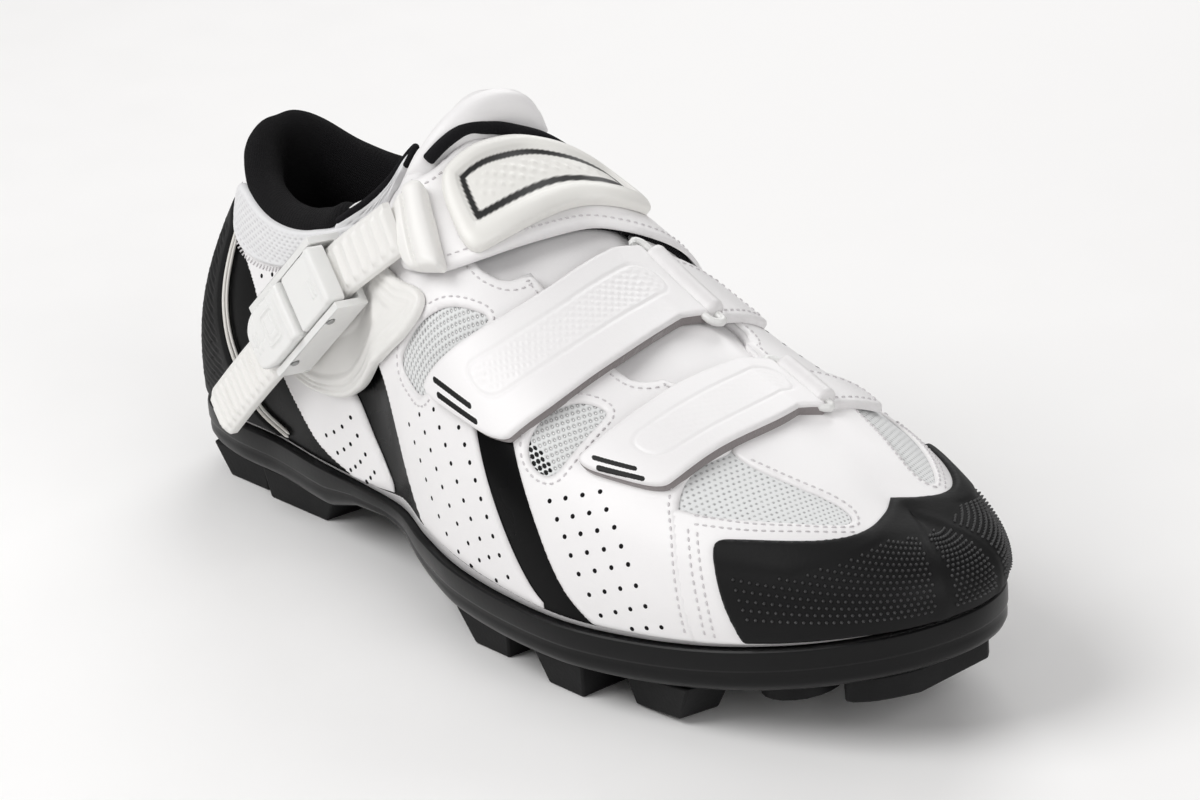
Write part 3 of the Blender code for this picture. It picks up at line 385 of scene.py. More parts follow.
def settle(piece, slotName, *nodes):
    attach(piece, "root")
    if nodes:
        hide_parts(*nodes)
    return piece


def plainValues(shape):
    # far from any border and outside every mask
    return dict(edge=np.full(shape, 9.0), mask=np.zeros(shape))


def gridQuads(index):
    # the four corners of each cell of a grid of point numbers
    return np.stack([index[:-1, :-1], index[1:, :-1], index[1:, 1:], index[:-1, 1:]], -1).reshape(-1, 4)


def closedShell(top, bottom, quads):
    # top faces, bottom faces turned round, and a rim that joins their free edges
    count = len(top)
    edges = np.concatenate([quads[:, [0, 1]], quads[:, [1, 2]], quads[:, [2, 3]], quads[:, [3, 0]]])
    edges = edges[edges[:, 0] != edges[:, 1]]
    keys = np.sort(edges, axis=1) @ np.array([count, 1])
    _, first, uses = np.unique(keys, return_index=True, return_counts=True)
    free = edges[first[uses == 1]]
    rim = np.stack([free[:, 1], free[:, 0], free[:, 0] + count, free[:, 1] + count], -1)
    faces = np.concatenate([quads, quads[:, ::-1] + count, rim])
    return np.concatenate([top, bottom]), faces


def tidyFaces(faces):
    # quads with a repeated corner become triangles
    faces = np.asarray(faces)
    following = np.roll(faces, -1, axis=1)
    whole = (faces != following).all(1) & (faces[:, 0] != faces[:, 2]) & (faces[:, 1] != faces[:, 3])
    result = faces[whole].tolist()
    for row in faces[~whole].tolist():
        corners = list(dict.fromkeys(row))
        if len(corners) == 3:
            result.append(corners)
    return result


def cutPiece(name, loops, toSpace, low, high, step, material, edge, relief=None, weld=False,
             limit=None, smooth=None):
    # a piece cut from a flat sheet and laid on a surface: a square grid, its border points moved onto the
    # outline; near the border the top falls as a quarter circle of radius edge; weld is for a piece that closes
    # over the toes, with its grid even about x = 0, and smooth says how far a place is levelled with its
    # neighbours
    sinkShare, levelRounds, levelBorder = 0.7, 60, 0.002
    border = loops[0]
    lowCorner, highCorner = border.min(0) - step, border.max(0) + step
    if limit is not None:
        highCorner = np.minimum(highCorner, limit)
    counts = np.maximum(np.ceil((highCorner - lowCorner) / step).astype(int), 2) + 1
    xs, ys = (np.linspace(lowCorner[k], highCorner[k], counts[k]) for k in (0, 1))
    if weld:
        half = np.linspace(0, highCorner[0], counts[0] // 2)
        xs = np.concatenate([-half[:0:-1], half])
    flat = np.stack(np.meshgrid(xs, ys, indexing="ij"), -1)
    shape = flat.shape[:2]
    flat = flat.reshape(-1, 2)
    distance, nearest = borderDistance(flat, loops)
    inner = distance < -0.35 * step
    quads = gridQuads(np.arange(len(flat)).reshape(shape))
    quads = quads[inner[quads].any(1)]
    used = np.unique(quads)
    lookup = np.zeros(len(flat), int)
    lookup[used] = np.arange(len(used))
    quads = lookup[quads]
    moved = ~inner[used]
    place = np.where(moved[:, None], nearest[used], flat[used])
    if limit is not None:
        place = np.minimum(place, limit)
    distance = np.where(moved, 0.0, distance[used])
    x, y = place.T
    share = np.clip(-distance / edge, 0, 1)
    lift = high - min(edge, sinkShare * (high - low)) * (1 - np.sqrt(1 - (1 - share) ** 2))
    mask = np.zeros(len(x))
    if relief is not None:
        extra, mask = relief(x, y, -distance)
        lift = lift + extra
    top, bottom = toSpace(x, y, lift), toSpace(x, y, np.full(len(x), low))
    a, b, c = (top[quads[:, k]] for k in (0, 1, 3))
    out = (toSpace(x, y, lift + 0.001) - top)[quads[:, 0]]
    if np.sum(np.cross(b - a, c - a) * out) < 0:
        quads = quads[:, ::-1]
    if weld:
        _, first, same = np.unique(np.round(top, 6), axis=0, return_index=True, return_inverse=True)
        quads = first[same.ravel()][quads]
    if smooth is not None:
        weight = (smooth(x, y) * np.clip(-distance / levelBorder, 0, 1))[:, None]
        starts = np.concatenate([quads[:, k] for k in (0, 1, 2, 3, 1, 2, 3, 0)])
        ends = np.concatenate([quads[:, k] for k in (1, 2, 3, 0, 0, 1, 2, 3)])
        uses = np.maximum(np.bincount(starts, minlength=len(top)), 1)[:, None]
        for rows in (top, bottom):
            for _ in range(levelRounds):
                total = np.stack([np.bincount(starts, rows[ends, k], len(rows)) for k in range(3)], -1)
                rows += 0.5 * weight * (total / uses - rows) * (total != 0)
    points, faces = closedShell(top, bottom, quads)
    uv = np.concatenate([place, place]) * 100
    values = dict(edge=np.tile(-distance * 1000, 2), mask=np.tile(mask, 2))
    made = meshObject(name, points, tidyFaces(faces), material, uv, values)
    if weld:
        work = bmesh.new()
        work.from_mesh(made.data)
        bmesh.ops.delete(work, geom=[v for v in work.verts if not v.link_faces], context="VERTS")
        bmesh.ops.remove_doubles(work, verts=work.verts, dist=2e-6)
        work.to_mesh(made.data)
        work.free()
    return made


def layPiece(name, piece, loops, toSpace, material, slotName, *nodes, relief=None, **more):
    # a cut piece with its sizes from its dictionary, in the place of its nodes
    made = cutPiece(name, loops, toSpace, piece["low"], piece["high"], piece["step"], material, piece["edge"],
                    relief, **more)
    settle(made, slotName, *nodes)


def gridPiece(name, points, material, closedAcross=False, uv=None, plain=False, sharp=60):
    # a sheet of rows and columns; a closed one joins its last column to the first
    index = np.arange(points[..., 0].size).reshape(points.shape[:2])
    if closedAcross:
        index = np.concatenate([index, index[:, :1]], 1)
    flatUv = None if uv is None else uv.reshape(-1, 2)
    values = plainValues(points[..., 0].size) if plain else None
    return meshObject(name, points, gridQuads(index).tolist(), material, flatUv, values, sharp)


def padPiece(name, top, bottom, material, uv=None, sharp=60):
    # two grids of points joined round their border
    quads = gridQuads(np.arange(top[..., 0].size).reshape(top.shape[:2]))
    points, faces = closedShell(top.reshape(-1, 3), bottom.reshape(-1, 3), quads)
    return meshObject(name, points, faces.tolist(), material, uv, plainValues(len(points)), sharp)


def tidyMesh(made, weld=1e-6, outward=True):
    work = bmesh.new()
    work.from_mesh(made.data)
    bmesh.ops.remove_doubles(work, verts=work.verts, dist=weld)
    if outward:
        bmesh.ops.recalc_face_normals(work, faces=work.faces)
    work.to_mesh(made.data)
    work.free()
    return made


def addWall(made, thickness):
    wall = made.modifiers.new("wall", "SOLIDIFY")
    wall.thickness, wall.offset = thickness, -1


def roundEdges(made, width):
    step = made.modifiers.new("round", "BEVEL")
    step.width, step.segments, step.limit_method = width, 2, "ANGLE"
    step.angle_limit = math.radians(35)
    step.harden_normals = False


def softened(node, name, width, material, slotName):
    # a merged copy of the node's mesh with its edges rounded
    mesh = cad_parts[node].data.copy()
    mesh.name = name
    made = bpy.data.objects.new(name, mesh)
    bpy.context.scene.collection.objects.link(made)
    work = bmesh.new()
    work.from_mesh(mesh)
    bmesh.ops.remove_doubles(work, verts=work.verts, dist=1e-5)
    bmesh.ops.dissolve_limit(work, angle_limit=math.radians(1.0), verts=work.verts, edges=work.edges)
    work.to_mesh(mesh)
    work.free()
    mesh.materials.clear()
    mesh.materials.append(material)
    mesh.shade_smooth()
    mesh.set_sharp_from_angle(angle=math.radians(40))
    roundEdges(made, width)
    settle(made, slotName, node)


def lineFrames(points, outward):
    # directions at each point of a line: ahead, across and up
    ahead = unit(np.gradient(points, axis=0))
    across = unit(np.cross(outward, ahead))
    return ahead, across, np.cross(ahead, across)


def liftedLine(toSpace, flat, lift):
    # a line of the flat sheet in space, with the outward direction at each point
    points = toSpace(flat[:, 0], flat[:, 1], np.full(len(flat), lift))
    return points, unit(toSpace(flat[:, 0], flat[:, 1], np.full(len(flat), lift + 0.001)) - points)


def tubePiece(name, points, outward, radius, material, sides=10):
    # circles of the radius round each point of the line, drawn in to a point at both ends
    _, across, up = lineFrames(points, outward)
    turn = np.linspace(0, 2 * math.pi, sides, endpoint=False)
    count = len(points)
    radius = np.broadcast_to(radius, count).copy()
    ends = np.minimum(np.arange(count), np.arange(count)[::-1])
    radius *= np.sqrt(np.clip(1 - (1 - np.minimum(ends / 2.0, 1)) ** 2, 0.0004, 1))
    ringPoints = across[:, None] * np.cos(turn)[:, None] + up[:, None] * np.sin(turn)[:, None]
    made = gridPiece(name, points[:, None] + radius[:, None, None] * ringPoints, material, closedAcross=True)
    work = bmesh.new()
    work.from_mesh(made.data)
    bmesh.ops.holes_fill(work, edges=[e for e in work.edges if e.is_boundary])
    bmesh.ops.recalc_face_normals(work, faces=work.faces)
    work.to_mesh(made.data)
    work.free()
    return made


# the stitches of every seam are gathered here and made at the end
stitchShape = dict(length=0.0015, pitch=0.0021, radius=0.00027, rings=5, sides=5)
stitchRuns = []


def sew(flat, toSpace, lift, closed=False, slant=0.0, pitch=stitchShape["pitch"],
        length=stitchShape["length"]):
    # stitches at an even pitch along the line, each one turned by slant from it
    line = np.concatenate([flat, flat[:1]]) if closed else flat
    points, outward = liftedLine(toSpace, line, lift)
    run = np.concatenate([[0], np.cumsum(np.linalg.norm(np.diff(points, axis=0), axis=1))])
    at = np.arange(pitch / 2, run[-1], pitch)
    place, ahead, across, up = (
        np.stack([np.interp(at, run, rows[:, k]) for k in range(3)], -1)
        for rows in (points, *lineFrames(points, outward))
    )
    heading = ahead * math.cos(slant) + across * math.sin(slant)
    stitchRuns.append((place, heading, np.cross(up, heading), up, np.full(len(at), length)))


def makeStitches(name, runs, material):
    # each stitch is a thin bead, bowed up in the middle and sunk at both ends
    place, heading, side, up, size = (np.concatenate([run[k] for run in runs]) for k in range(5))
    rings, sides, radius = (stitchShape[key] for key in ("rings", "sides", "radius"))
    s = np.linspace(-1, 1, rings)
    turn = np.linspace(0, 2 * math.pi, sides, endpoint=False)
    thick = radius * np.sqrt(np.clip(1 - 0.85 * s ** 4, 0.1, 1))
    bow = radius * (0.35 - 1.1 * s ** 4)
    shape = (
        place[:, None, None] + heading[:, None, None] * (0.5 * size[:, None] * s)[:, :, None, None]
        + up[:, None, None] * (bow[:, None] + thick[:, None] * np.sin(turn))[None, :, :, None]
        + side[:, None, None] * (thick[:, None] * np.cos(turn))[None, :, :, None]
    )
    one = np.arange(rings * sides).reshape(rings, sides)
    closed = np.concatenate([one, one[:, :1]], 1)
    offset = np.arange(len(place)) * rings * sides
    faces = (gridQuads(closed)[None] + offset[:, None, None]).reshape(-1, 4)[:, ::-1].tolist()
    faces += (one[0][None] + offset[:, None]).tolist() + (one[-1][::-1][None] + offset[:, None]).tolist()
    return meshObject(name, shape, faces, material, sharp=80)


def circles(flat, toSpace, lift, sides):
    # places on the sheet in space, outward directions, and a unit circle round each place
    points, outward = liftedLine(toSpace, flat, lift)
    step = unit(toSpace(flat[:, 0] + 0.0002, flat[:, 1], np.full(len(flat), lift)) - points)
    side = np.cross(outward, step)
    turn = np.linspace(0, 2 * math.pi, sides, endpoint=False)[:, None]
    return points[:, None], outward[:, None], step[:, None] * np.cos(turn) + side[:, None] * np.sin(turn)


def discs(name, flat, toSpace, lift, radius, material, depth=0.0005):
    # small flat round marks of ten sides that reach down by depth
    points, outward, circle = circles(flat, toSpace, lift, 10)
    rim = points + radius * circle
    shape = np.concatenate([rim, rim - outward * depth, points, points - outward * depth], 1)
    k = np.arange(10)
    following = (k + 1) % 10
    fan = np.stack([k, following, np.full(10, 20)], -1)
    base = np.stack([following + 10, k + 10, np.full(10, 21)], -1)
    walls = np.stack([following, k, k + 10, following + 10], -1)
    offset = np.arange(len(flat)) * 22
    faces = []
    for group in (fan, base, walls):
        faces += (group[None] + offset[:, None, None]).reshape(-1, group.shape[1]).tolist()
    return meshObject(name, shape, faces, material, sharp=50)


def cones(name, flat, toSpace, lift, radius, height, material):
    # six-sided pips with a blunt tip
    points, outward, circle = circles(flat, toSpace, lift, 6)
    profile = ((-0.0004, 1), (0.35 * height, 0.75), (height, 0.28))
    shape = np.concatenate([points + up * outward + share * radius * circle for up, share in profile], 1)
    k = np.arange(6)
    following = (k + 1) % 6
    walls = np.concatenate([np.stack([k + r, following + r, following + r + 6, k + r + 6], -1) for r in (0, 6)])
    offset = np.arange(len(flat)) * 18
    faces = (walls[None] + offset[:, None, None]).reshape(-1, 4).tolist()
    faces += (np.arange(12, 18)[None] + offset[:, None]).tolist() + (k[::-1][None] + offset[:, None]).tolist()
    return meshObject(name, shape, faces, material, sharp=80)


def latticeGap(x, y, pitch, row):
    # distance to the nearest point of a staggered lattice
    gaps = []
    for offset in (0.0, 0.5):
        gx, gy = x / pitch - offset, y / row - offset
        gaps.append(np.hypot((gx - np.round(gx)) * pitch, (gy - np.round(gy)) * row))
    return np.minimum(*gaps)


# ---------------------------------------------------------------- materials
def newGroup(name, inputs, outputs):
    group = bpy.data.node_groups.new(name, "ShaderNodeTree")
    for socket, value in inputs.items():
        made = group.interface.new_socket(name=socket, in_out="INPUT", socket_type="NodeSocketFloat")
        made.default_value = value
    for socket in outputs:
        group.interface.new_socket(name=socket, in_out="OUTPUT", socket_type="NodeSocketFloat")
    return group, group.nodes.new("NodeGroupInput"), group.nodes.new("NodeGroupOutput")


def addNode(tree, kind, inputs=None, **settings):
    node = tree.nodes.new(kind)
    for key, value in settings.items():
        setattr(node, key, value)
    for key, value in (inputs or {}).items():
        if isinstance(value, bpy.types.NodeSocket):
            tree.links.new(value, node.inputs[key])
        else:
            node.inputs[key].default_value = value
    return node


def mathNode(tree, operation, a, b=0.0, clamp=False):
    return addNode(tree, "ShaderNodeMath", {0: a, 1: b}, operation=operation, use_clamp=clamp).outputs[0]


def mixNode(tree, factor, first, colour):
    # 6 and 7 are the colour inputs of a mix node, and 2 is its colour output
    inputs = {"Factor": factor, 6: first, 7: (*colour, 1)}
    return addNode(tree, "ShaderNodeMix", inputs, data_type="RGBA").outputs[2]


# coated leather grain: small cells with a fine noise over them, and broad mottling
grainGroup, groupIn, groupOut = newGroup("coatedGrain", {"Cells": 900.0, "Noise": 2600.0}, ["Height", "Mottle"])
place = addNode(grainGroup, "ShaderNodeTexCoord").outputs["Object"]
cells = addNode(grainGroup, "ShaderNodeTexVoronoi", {"Vector": place, "Scale": groupIn.outputs["Cells"]},
                feature="SMOOTH_F1")
noise = addNode(grainGroup, "ShaderNodeTexNoise",
                {"Vector": place, "Scale": groupIn.outputs["Noise"], "Detail": 3.0})
broad = addNode(grainGroup, "ShaderNodeTexNoise", {"Vector": place, "Scale": 38.0, "Detail": 4.0})
height = mathNode(grainGroup, "ADD", mathNode(grainGroup, "MULTIPLY", cells.outputs["Distance"], 0.7),
                  mathNode(grainGroup, "MULTIPLY", noise.outputs["Fac"], 0.5))
grainGroup.links.new(height, groupOut.inputs["Height"])
grainGroup.links.new(broad.outputs["Fac"], groupOut.inputs["Mottle"])

# worn and dirty borders: strongest where the edge attribute, millimetres from the border, is small
wearGroup, groupIn, groupOut = newGroup("borderWear", {"Reach": 1.2}, ["Wear"])
gap = addNode(wearGroup, "ShaderNodeAttribute", attribute_name="edge").outputs["Fac"]
place = addNode(wearGroup, "ShaderNodeTexCoord").outputs["Object"]
patchy = addNode(wearGroup, "ShaderNodeTexNoise",
                 {"Vector": place, "Scale": 260.0, "Detail": 5.0}).outputs["Fac"]
near = mathNode(wearGroup, "SUBTRACT", 1.0, mathNode(wearGroup, "DIVIDE", gap, groupIn.outputs["Reach"]), True)
wearGroup.links.new(mathNode(wearGroup, "MULTIPLY", near, patchy, True), groupOut.inputs["Wear"])

# knitted ribs from the flat map: two crossing waves
ribGroup, groupIn, groupOut = newGroup("knitRibs", {"Ribs": 6.0, "Courses": 11.0}, ["Height"])
flatMap = addNode(ribGroup, "ShaderNodeUVMap", uv_map="flat").outputs["UV"]
parts = addNode(ribGroup, "ShaderNodeSeparateXYZ", {0: flatMap})
wave = lambda value, count: mathNode(ribGroup, "SINE", mathNode(ribGroup, "MULTIPLY", value, count))
turns = mathNode(ribGroup, "MULTIPLY", groupIn.outputs["Ribs"], 2 * math.pi)
courses = mathNode(ribGroup, "MULTIPLY", groupIn.outputs["Courses"], 2 * math.pi)
bend = mathNode(ribGroup, "MULTIPLY", wave(parts.outputs["X"], turns), 0.035)
rows = wave(mathNode(ribGroup, "ADD", parts.outputs["Y"], bend), courses)
columns = wave(parts.outputs["X"], turns)
ribGroup.links.new(mathNode(ribGroup, "ADD", rows, mathNode(ribGroup, "MULTIPLY", columns, 0.5)),
                   groupOut.inputs["Height"])


def surfaceMaterial(name, colour, roughness, shade=(0.9, 0.9, 0.9), grain=(900.0, 2600.0), depth=0.05, wear=0.0,
                    wornColour=None, ribs=None, maskColour=None, coat=0.0, metallic=0.0, sheen=0.0,
                    specular=0.5):
    # base colour mottled by the grain group, worn at its borders, with a bump from grain or ribs
    spread = 0.08
    made = bpy.data.materials.new(name)
    made.use_nodes = True
    tree = made.node_tree
    shader = tree.nodes["Principled BSDF"]
    grainNode = addNode(tree, "ShaderNodeGroup", node_tree=grainGroup)
    grainNode.inputs["Cells"].default_value, grainNode.inputs["Noise"].default_value = grain
    dark = tuple(c * s for c, s in zip(colour, shade))
    tint = mixNode(tree, grainNode.outputs["Mottle"], (*dark, 1), colour)
    if maskColour is not None:
        mask = addNode(tree, "ShaderNodeAttribute", attribute_name="mask").outputs["Fac"]
        tint = mixNode(tree, mask, tint, maskColour)
    if wear:
        wearNode = addNode(tree, "ShaderNodeGroup", node_tree=wearGroup)
        amount = mathNode(tree, "MULTIPLY", wearNode.outputs["Wear"], wear, True)
        tint = mixNode(tree, amount, tint, wornColour or dark)
    tree.links.new(tint, shader.inputs["Base Color"])
    rough = addNode(tree, "ShaderNodeMapRange", {
        "Value": grainNode.outputs["Mottle"], "From Min": 0.3, "From Max": 0.7,
        "To Min": max(roughness - spread, 0.05), "To Max": min(roughness + spread, 1.0)}).outputs["Result"]
    tree.links.new(rough, shader.inputs["Roughness"])
    bumpHeight = grainNode.outputs["Height"]
    if ribs:
        ribNode = addNode(tree, "ShaderNodeGroup", node_tree=ribGroup)
        ribNode.inputs["Ribs"].default_value, ribNode.inputs["Courses"].default_value = ribs
        bumpHeight = mathNode(tree, "ADD", ribNode.outputs["Height"], bumpHeight)
    bump = addNode(tree, "ShaderNodeBump", {"Height": bumpHeight, "Strength": 1.0, "Distance": depth * 0.001})
    tree.links.new(bump.outputs["Normal"], shader.inputs["Normal"])
    shader.inputs["Metallic"].default_value = metallic
    shader.inputs["Coat Weight"].default_value = coat
    shader.inputs["Sheen Weight"].default_value = sheen
    shader.inputs["Specular IOR Level"].default_value = specular
    return made


white = (0.87, 0.86, 0.86)
whiteSynthetic = surfaceMaterial("white_coated_synthetic", white, 0.44, shade=(0.965, 0.96, 0.965), depth=0.035,
                                 wear=0.55, wornColour=(0.62, 0.60, 0.60))
blackGloss = surfaceMaterial("black_gloss_synthetic", (0.004, 0.004, 0.0042), 0.28, depth=0.008,
                             grain=(500.0, 1400.0), specular=0.06)
cuffMesh = surfaceMaterial("white_woven_mesh", (0.80, 0.80, 0.81), 0.8, shade=(0.93, 0.93, 0.93), depth=0.03,
                           maskColour=(0.42, 0.41, 0.42), sheen=0.3)
windowMesh = surfaceMaterial("white_window_mesh", (0.78, 0.79, 0.79), 0.75, shade=(0.9, 0.9, 0.9), depth=0.04,
                             maskColour=(0.10, 0.10, 0.10), sheen=0.2)
blackKnit = surfaceMaterial("black_rib_knit", (0.010, 0.0095, 0.011), 0.85, depth=0.25, ribs=(9.0, 14.0),
                            grain=(1500.0, 4000.0), sheen=0.02, specular=0.12)
greyFelt = surfaceMaterial("grey_felt", (0.30, 0.275, 0.275), 0.95, shade=(0.62, 0.6, 0.6), depth=0.18,
                           grain=(1800.0, 3200.0), sheen=0.4)
blackRubber = surfaceMaterial("black_rubber", (0.007, 0.007, 0.0073), 0.56, depth=0.05, grain=(1100.0, 3200.0),
                              wear=0.35, wornColour=(0.024, 0.024, 0.025), specular=0.16)
pipRubber = surfaceMaterial("black_rubber_pips", (0.030, 0.030, 0.031), 0.36, depth=0.01, specular=0.6)
glossSole = surfaceMaterial("black_moulded_sole", (0.005, 0.005, 0.0053), 0.32, depth=0.02,
                            grain=(700.0, 2200.0), coat=0.03, specular=0.18)
whitePlastic = surfaceMaterial("white_moulded_plastic", (0.82, 0.82, 0.81), 0.32, shade=(0.97, 0.97, 0.96),
                               depth=0.010, grain=(600.0, 1800.0), wear=0.4, wornColour=(0.66, 0.66, 0.65))
softPlastic = surfaceMaterial("white_soft_plastic", (0.84, 0.83, 0.81), 0.42, shade=(0.97, 0.97, 0.96),
                              depth=0.015)
steel = surfaceMaterial("dark_steel", (0.42, 0.42, 0.42), 0.35, depth=0.01, metallic=1.0)
# the thread's own off-white greyed down to stand for the shadows round each stitch: partly thread colour,
# partly painted shade
threadWithPaintedShade = surfaceMaterial("grey_thread_painted_shade", (0.66, 0.64, 0.65), 0.8, depth=0.03, grain=(3000.0, 6000.0))
blackInk = surfaceMaterial("black_inlay", (0.010, 0.010, 0.010), 0.5, depth=0.02, specular=0.2)
holeDark = surfaceMaterial("punched_hole", (0.010, 0.009, 0.010), 0.9, depth=0.02, specular=0.1)
paleTrim = surfaceMaterial("pale_piping", (0.80, 0.78, 0.74), 0.4, depth=0.01)
print("camera, last and materials ready")

# ---------------------------------------------------------------- upper wall
upper = dict(wall=0.002, along=440, up=30, uvAlong=1.6, uvUp=7.5)


def spreadPlaces(count):
    # places round the ring, denser at the heel and the toe
    even = np.linspace(0, ringCount, count + 1)[:-1]
    return even - 0.3 * ringCount / (4 * math.pi) * np.sin(4 * math.pi * even / ringCount)


places = spreadPlaces(upper["along"])
stationOf = np.abs((places + toe) % ringCount - toe)
heights = np.linspace(0, 1, upper["up"])[:, None] * throatHeight(stationOf)
outer = onRing(places + 0 * heights, heights)
upperUv = np.stack([(places + 0 * heights) * upper["uvAlong"], heights * upper["uvUp"]], -1)
upperSkin = gridPiece("upper_skin", outer, whiteSynthetic, closedAcross=True, uv=upperUv, plain=True)
tidyMesh(upperSkin, 5e-6)
addWall(upperSkin, upper["wall"])
settle(upperSkin, "white_synthetic", "upper")

# ---------------------------------------------------------------- lateral side: base, windows and quarter
quarter = dict(low=0.0003, high=0.0012, step=0.0007, edge=0.0009)
# the edge of both quarters from the collar's rear round the cuff, along the throat and down to the toes
throatPoints = [(s, float(throatHeight(s)) - 0.004, 0.6) for s in np.arange(6.35, 12.25, 0.06)]
upperEdge = [
    (3.10, 0.72, 30), (2.75, 0.745, 20), (2.60, 0.80, 5), (2.9, 0.90, 10), (4.4, 0.90, 20), (5.9, 0.90, 6),
    (6.20, 0.88, 3), *throatPoints, (12.45, 0.82, 3), (12.62, 0.735, 2), (12.42, 0.66, 10),
    (12.30, 0.585, 10), (12.34, 0.49, 20), (12.52, 0.38, 40), (12.68, 0.22, 40)]
windowLoops = {
    "window_rear": roundedLoop(((7.76, 0.275, 3), (8.25, 0.42, 12), (8.77, 0.555, 5), (9.31, 0.625, 3),
                                (9.0, 0.43, 20), (8.52, 0.262, 5))),
    "window_middle": roundedLoop(((10.33, 0.43, 4), (10.40, 0.53, 10), (10.66, 0.63, 4), (11.07, 0.66, 3),
                                  (10.95, 0.52, 20), (10.80, 0.385, 4), (10.48, 0.375, 4))),
}
quarterLoop = roundedLoop([
    (5.88, 0.012, 1), (5.15, 0.077, 60), (4.80, 0.20, 60), (4.47, 0.311, 60), (4.10, 0.43, 60),
    (3.74, 0.563, 60), (3.45, 0.66, 40), *upperEdge, (12.82, 0.012, 1),
    (11.43, 0.012, 1), (11.07, 0.075, 60), (10.67, 0.24, 60), (10.18, 0.392, 60), (10.02, 0.45, 3),
    (9.45, 0.43, 3), (9.62, 0.33, 60), (10.03, 0.19, 60), (10.49, 0.05, 60), (10.80, 0.012, 1),
    (8.05, 0.012, 1), (7.62, 0.07, 60), (7.19, 0.15, 60), (6.80, 0.235, 60), (6.55, 0.31, 60),
    (6.35, 0.40, 3), (5.95, 0.38, 3), (6.14, 0.30, 60), (6.42, 0.14, 60), (6.66, 0.065, 60), (6.90, 0.012, 1),
])
layPiece("lateral_quarter", quarter, [quarterLoop, *windowLoops.values()], wrapMap, whiteSynthetic,
         "white_synthetic", "lateral_panel_rear", "lateral_panel_middle", "lateral_panel_front")
glossBase = dict(low=-0.0002, high=0.0002, step=0.0012, edge=0.0006)
baseLoop = roundedLoop((
    (1.0, 0.004, 1), (11.9, 0.004, 1), (10.7, 0.44, 3), (9.5, 0.46, 3), (9.0, 0.12, 3), (7.4, 0.26, 3),
    (6.55, 0.44, 3), (5.6, 0.46, 3), (4.3, 0.46, 3), (3.9, 0.63, 3), (3.3, 0.74, 5), (2.5, 0.775, 3),
    (2.1, 0.72, 3), (1.4, 0.4, 3)))
layPiece("gloss_base", glossBase, [baseLoop], wrapMap, blackGloss, "black_gloss")


def netRelief(pitch, row, radius, depth):
    # small round holes of a mesh: depth falls off as a bell round each lattice point
    def relief(x, y, inside):
        hole = np.exp(-(latticeGap(x, y, pitch, row) / radius) ** 2)
        return -depth * hole, np.clip(1.5 * hole - 0.35, 0, 1)
    return relief


window = dict(low=-0.0003, high=0.0003, step=0.00028, edge=0.0005)
windowNet = netRelief(pitch=0.0015, row=0.0021, radius=0.00044, depth=0.0004)
for name, loop in windowLoops.items():
    layPiece(name + "_mesh", window, [insetLine(loop, -0.002)], wrapMap, windowMesh, "cuff_mesh",
             relief=windowNet)
    sew(insetLine(loop, -0.0016), wrapMap, quarter["high"], closed=True)

# ---------------------------------------------------------------- medial side: white quarter over a gloss band
medial = dict(low=0.0001, high=0.0008, step=0.0010, edge=0.0009)
medialLoop = roundedLoop([
    (12.82, 1.985, 1), *mirrorRows(upperEdge), (3.45, 1.35, 40), (3.80, 1.48, 60), (4.15, 1.62, 60),
    (4.5, 1.80, 60), (4.7, 1.985, 1)])
layPiece("medial_quarter", medial, [medialLoop], wrapMap, whiteSynthetic, "white_synthetic")
glossBand = dict(low=0.0004, high=0.0014, step=0.0009, edge=0.0008)
bandLoop = roundedLoop((
    (4.35, 1.975, 1), (4.20, 1.67, 5), (5.2, 1.70, 40), (6.0, 1.745, 60), (6.5, 1.82, 60), (7.2, 1.885, 60),
    (8.2, 1.885, 60), (9.8, 1.80, 60), (11.1, 1.72, 60), (12.2, 1.665, 40), (12.45, 1.68, 4),
    (12.80, 1.975, 1), (10.5, 1.985, 60), (7.0, 1.985, 60)))
layPiece("medial_gloss_band", glossBand, [bandLoop], wrapMap, blackGloss, "black_gloss",
         "medial_panel_rear", "medial_panel_front")

# ---------------------------------------------------------------- front piece round the toes and its windows
front = dict(low=0.0002, high=0.0011, step=0.0007, edge=0.0008, level=0.14)
halfFront = [
    (12.76, 0.010, 1), (12.50, 0.22, 40), (12.36, 0.36, 20), (12.24, 0.475, 3), (12.68, 0.485, 8),
    (13.3, 0.535, 60), (13.9, 0.595, 60), (14.45, 0.655, 20), (14.68, 0.700, 4), (14.60, 0.745, 4),
    (14.20, 0.757, 20), (13.52, 0.735, 60), (12.85, 0.72, 20), (12.50, 0.745, 3), (12.42, 0.85, 20)]
capInside = [(16.0, 1.0, 10), (15.9, 0.85, 20), (15.5, 0.66, 20), (14.9, 0.52, 20), (14.0, 0.43, 20),
             (13.55, 0.34, 10), (13.62, 0.2, 10), (13.75, 0.010, 1)]
frontLoop = roundedLoop(halfFront + mirrorRows(halfFront) + mirrorRows(capInside) + capInside[1:])
layPiece("front_piece", front, [frontLoop], wrapMap, whiteSynthetic, "white_synthetic", "vamp_overlay",
         smooth=lambda x, y: np.exp(-((y / perSweep - 1) / front["level"]) ** 2))
toeWindow = roundedLoop((
    (12.2, 0.46, 2), (12.75, 0.46, 8), (13.9, 0.575, 60), (14.75, 0.69, 4), (14.5, 0.78, 4), (12.9, 0.76, 20),
    (12.2, 0.78, 3)))
toeNet = netRelief(pitch=0.0016, row=0.0024, radius=0.00030, depth=0.0002)
for side, turned in sides:
    layPiece(f"window_toe_{side}_mesh", dict(window, high=0.00015), [turned(toeWindow)], wrapMap, windowMesh,
             "cuff_mesh", relief=toeNet)
print("upper and its panels made")

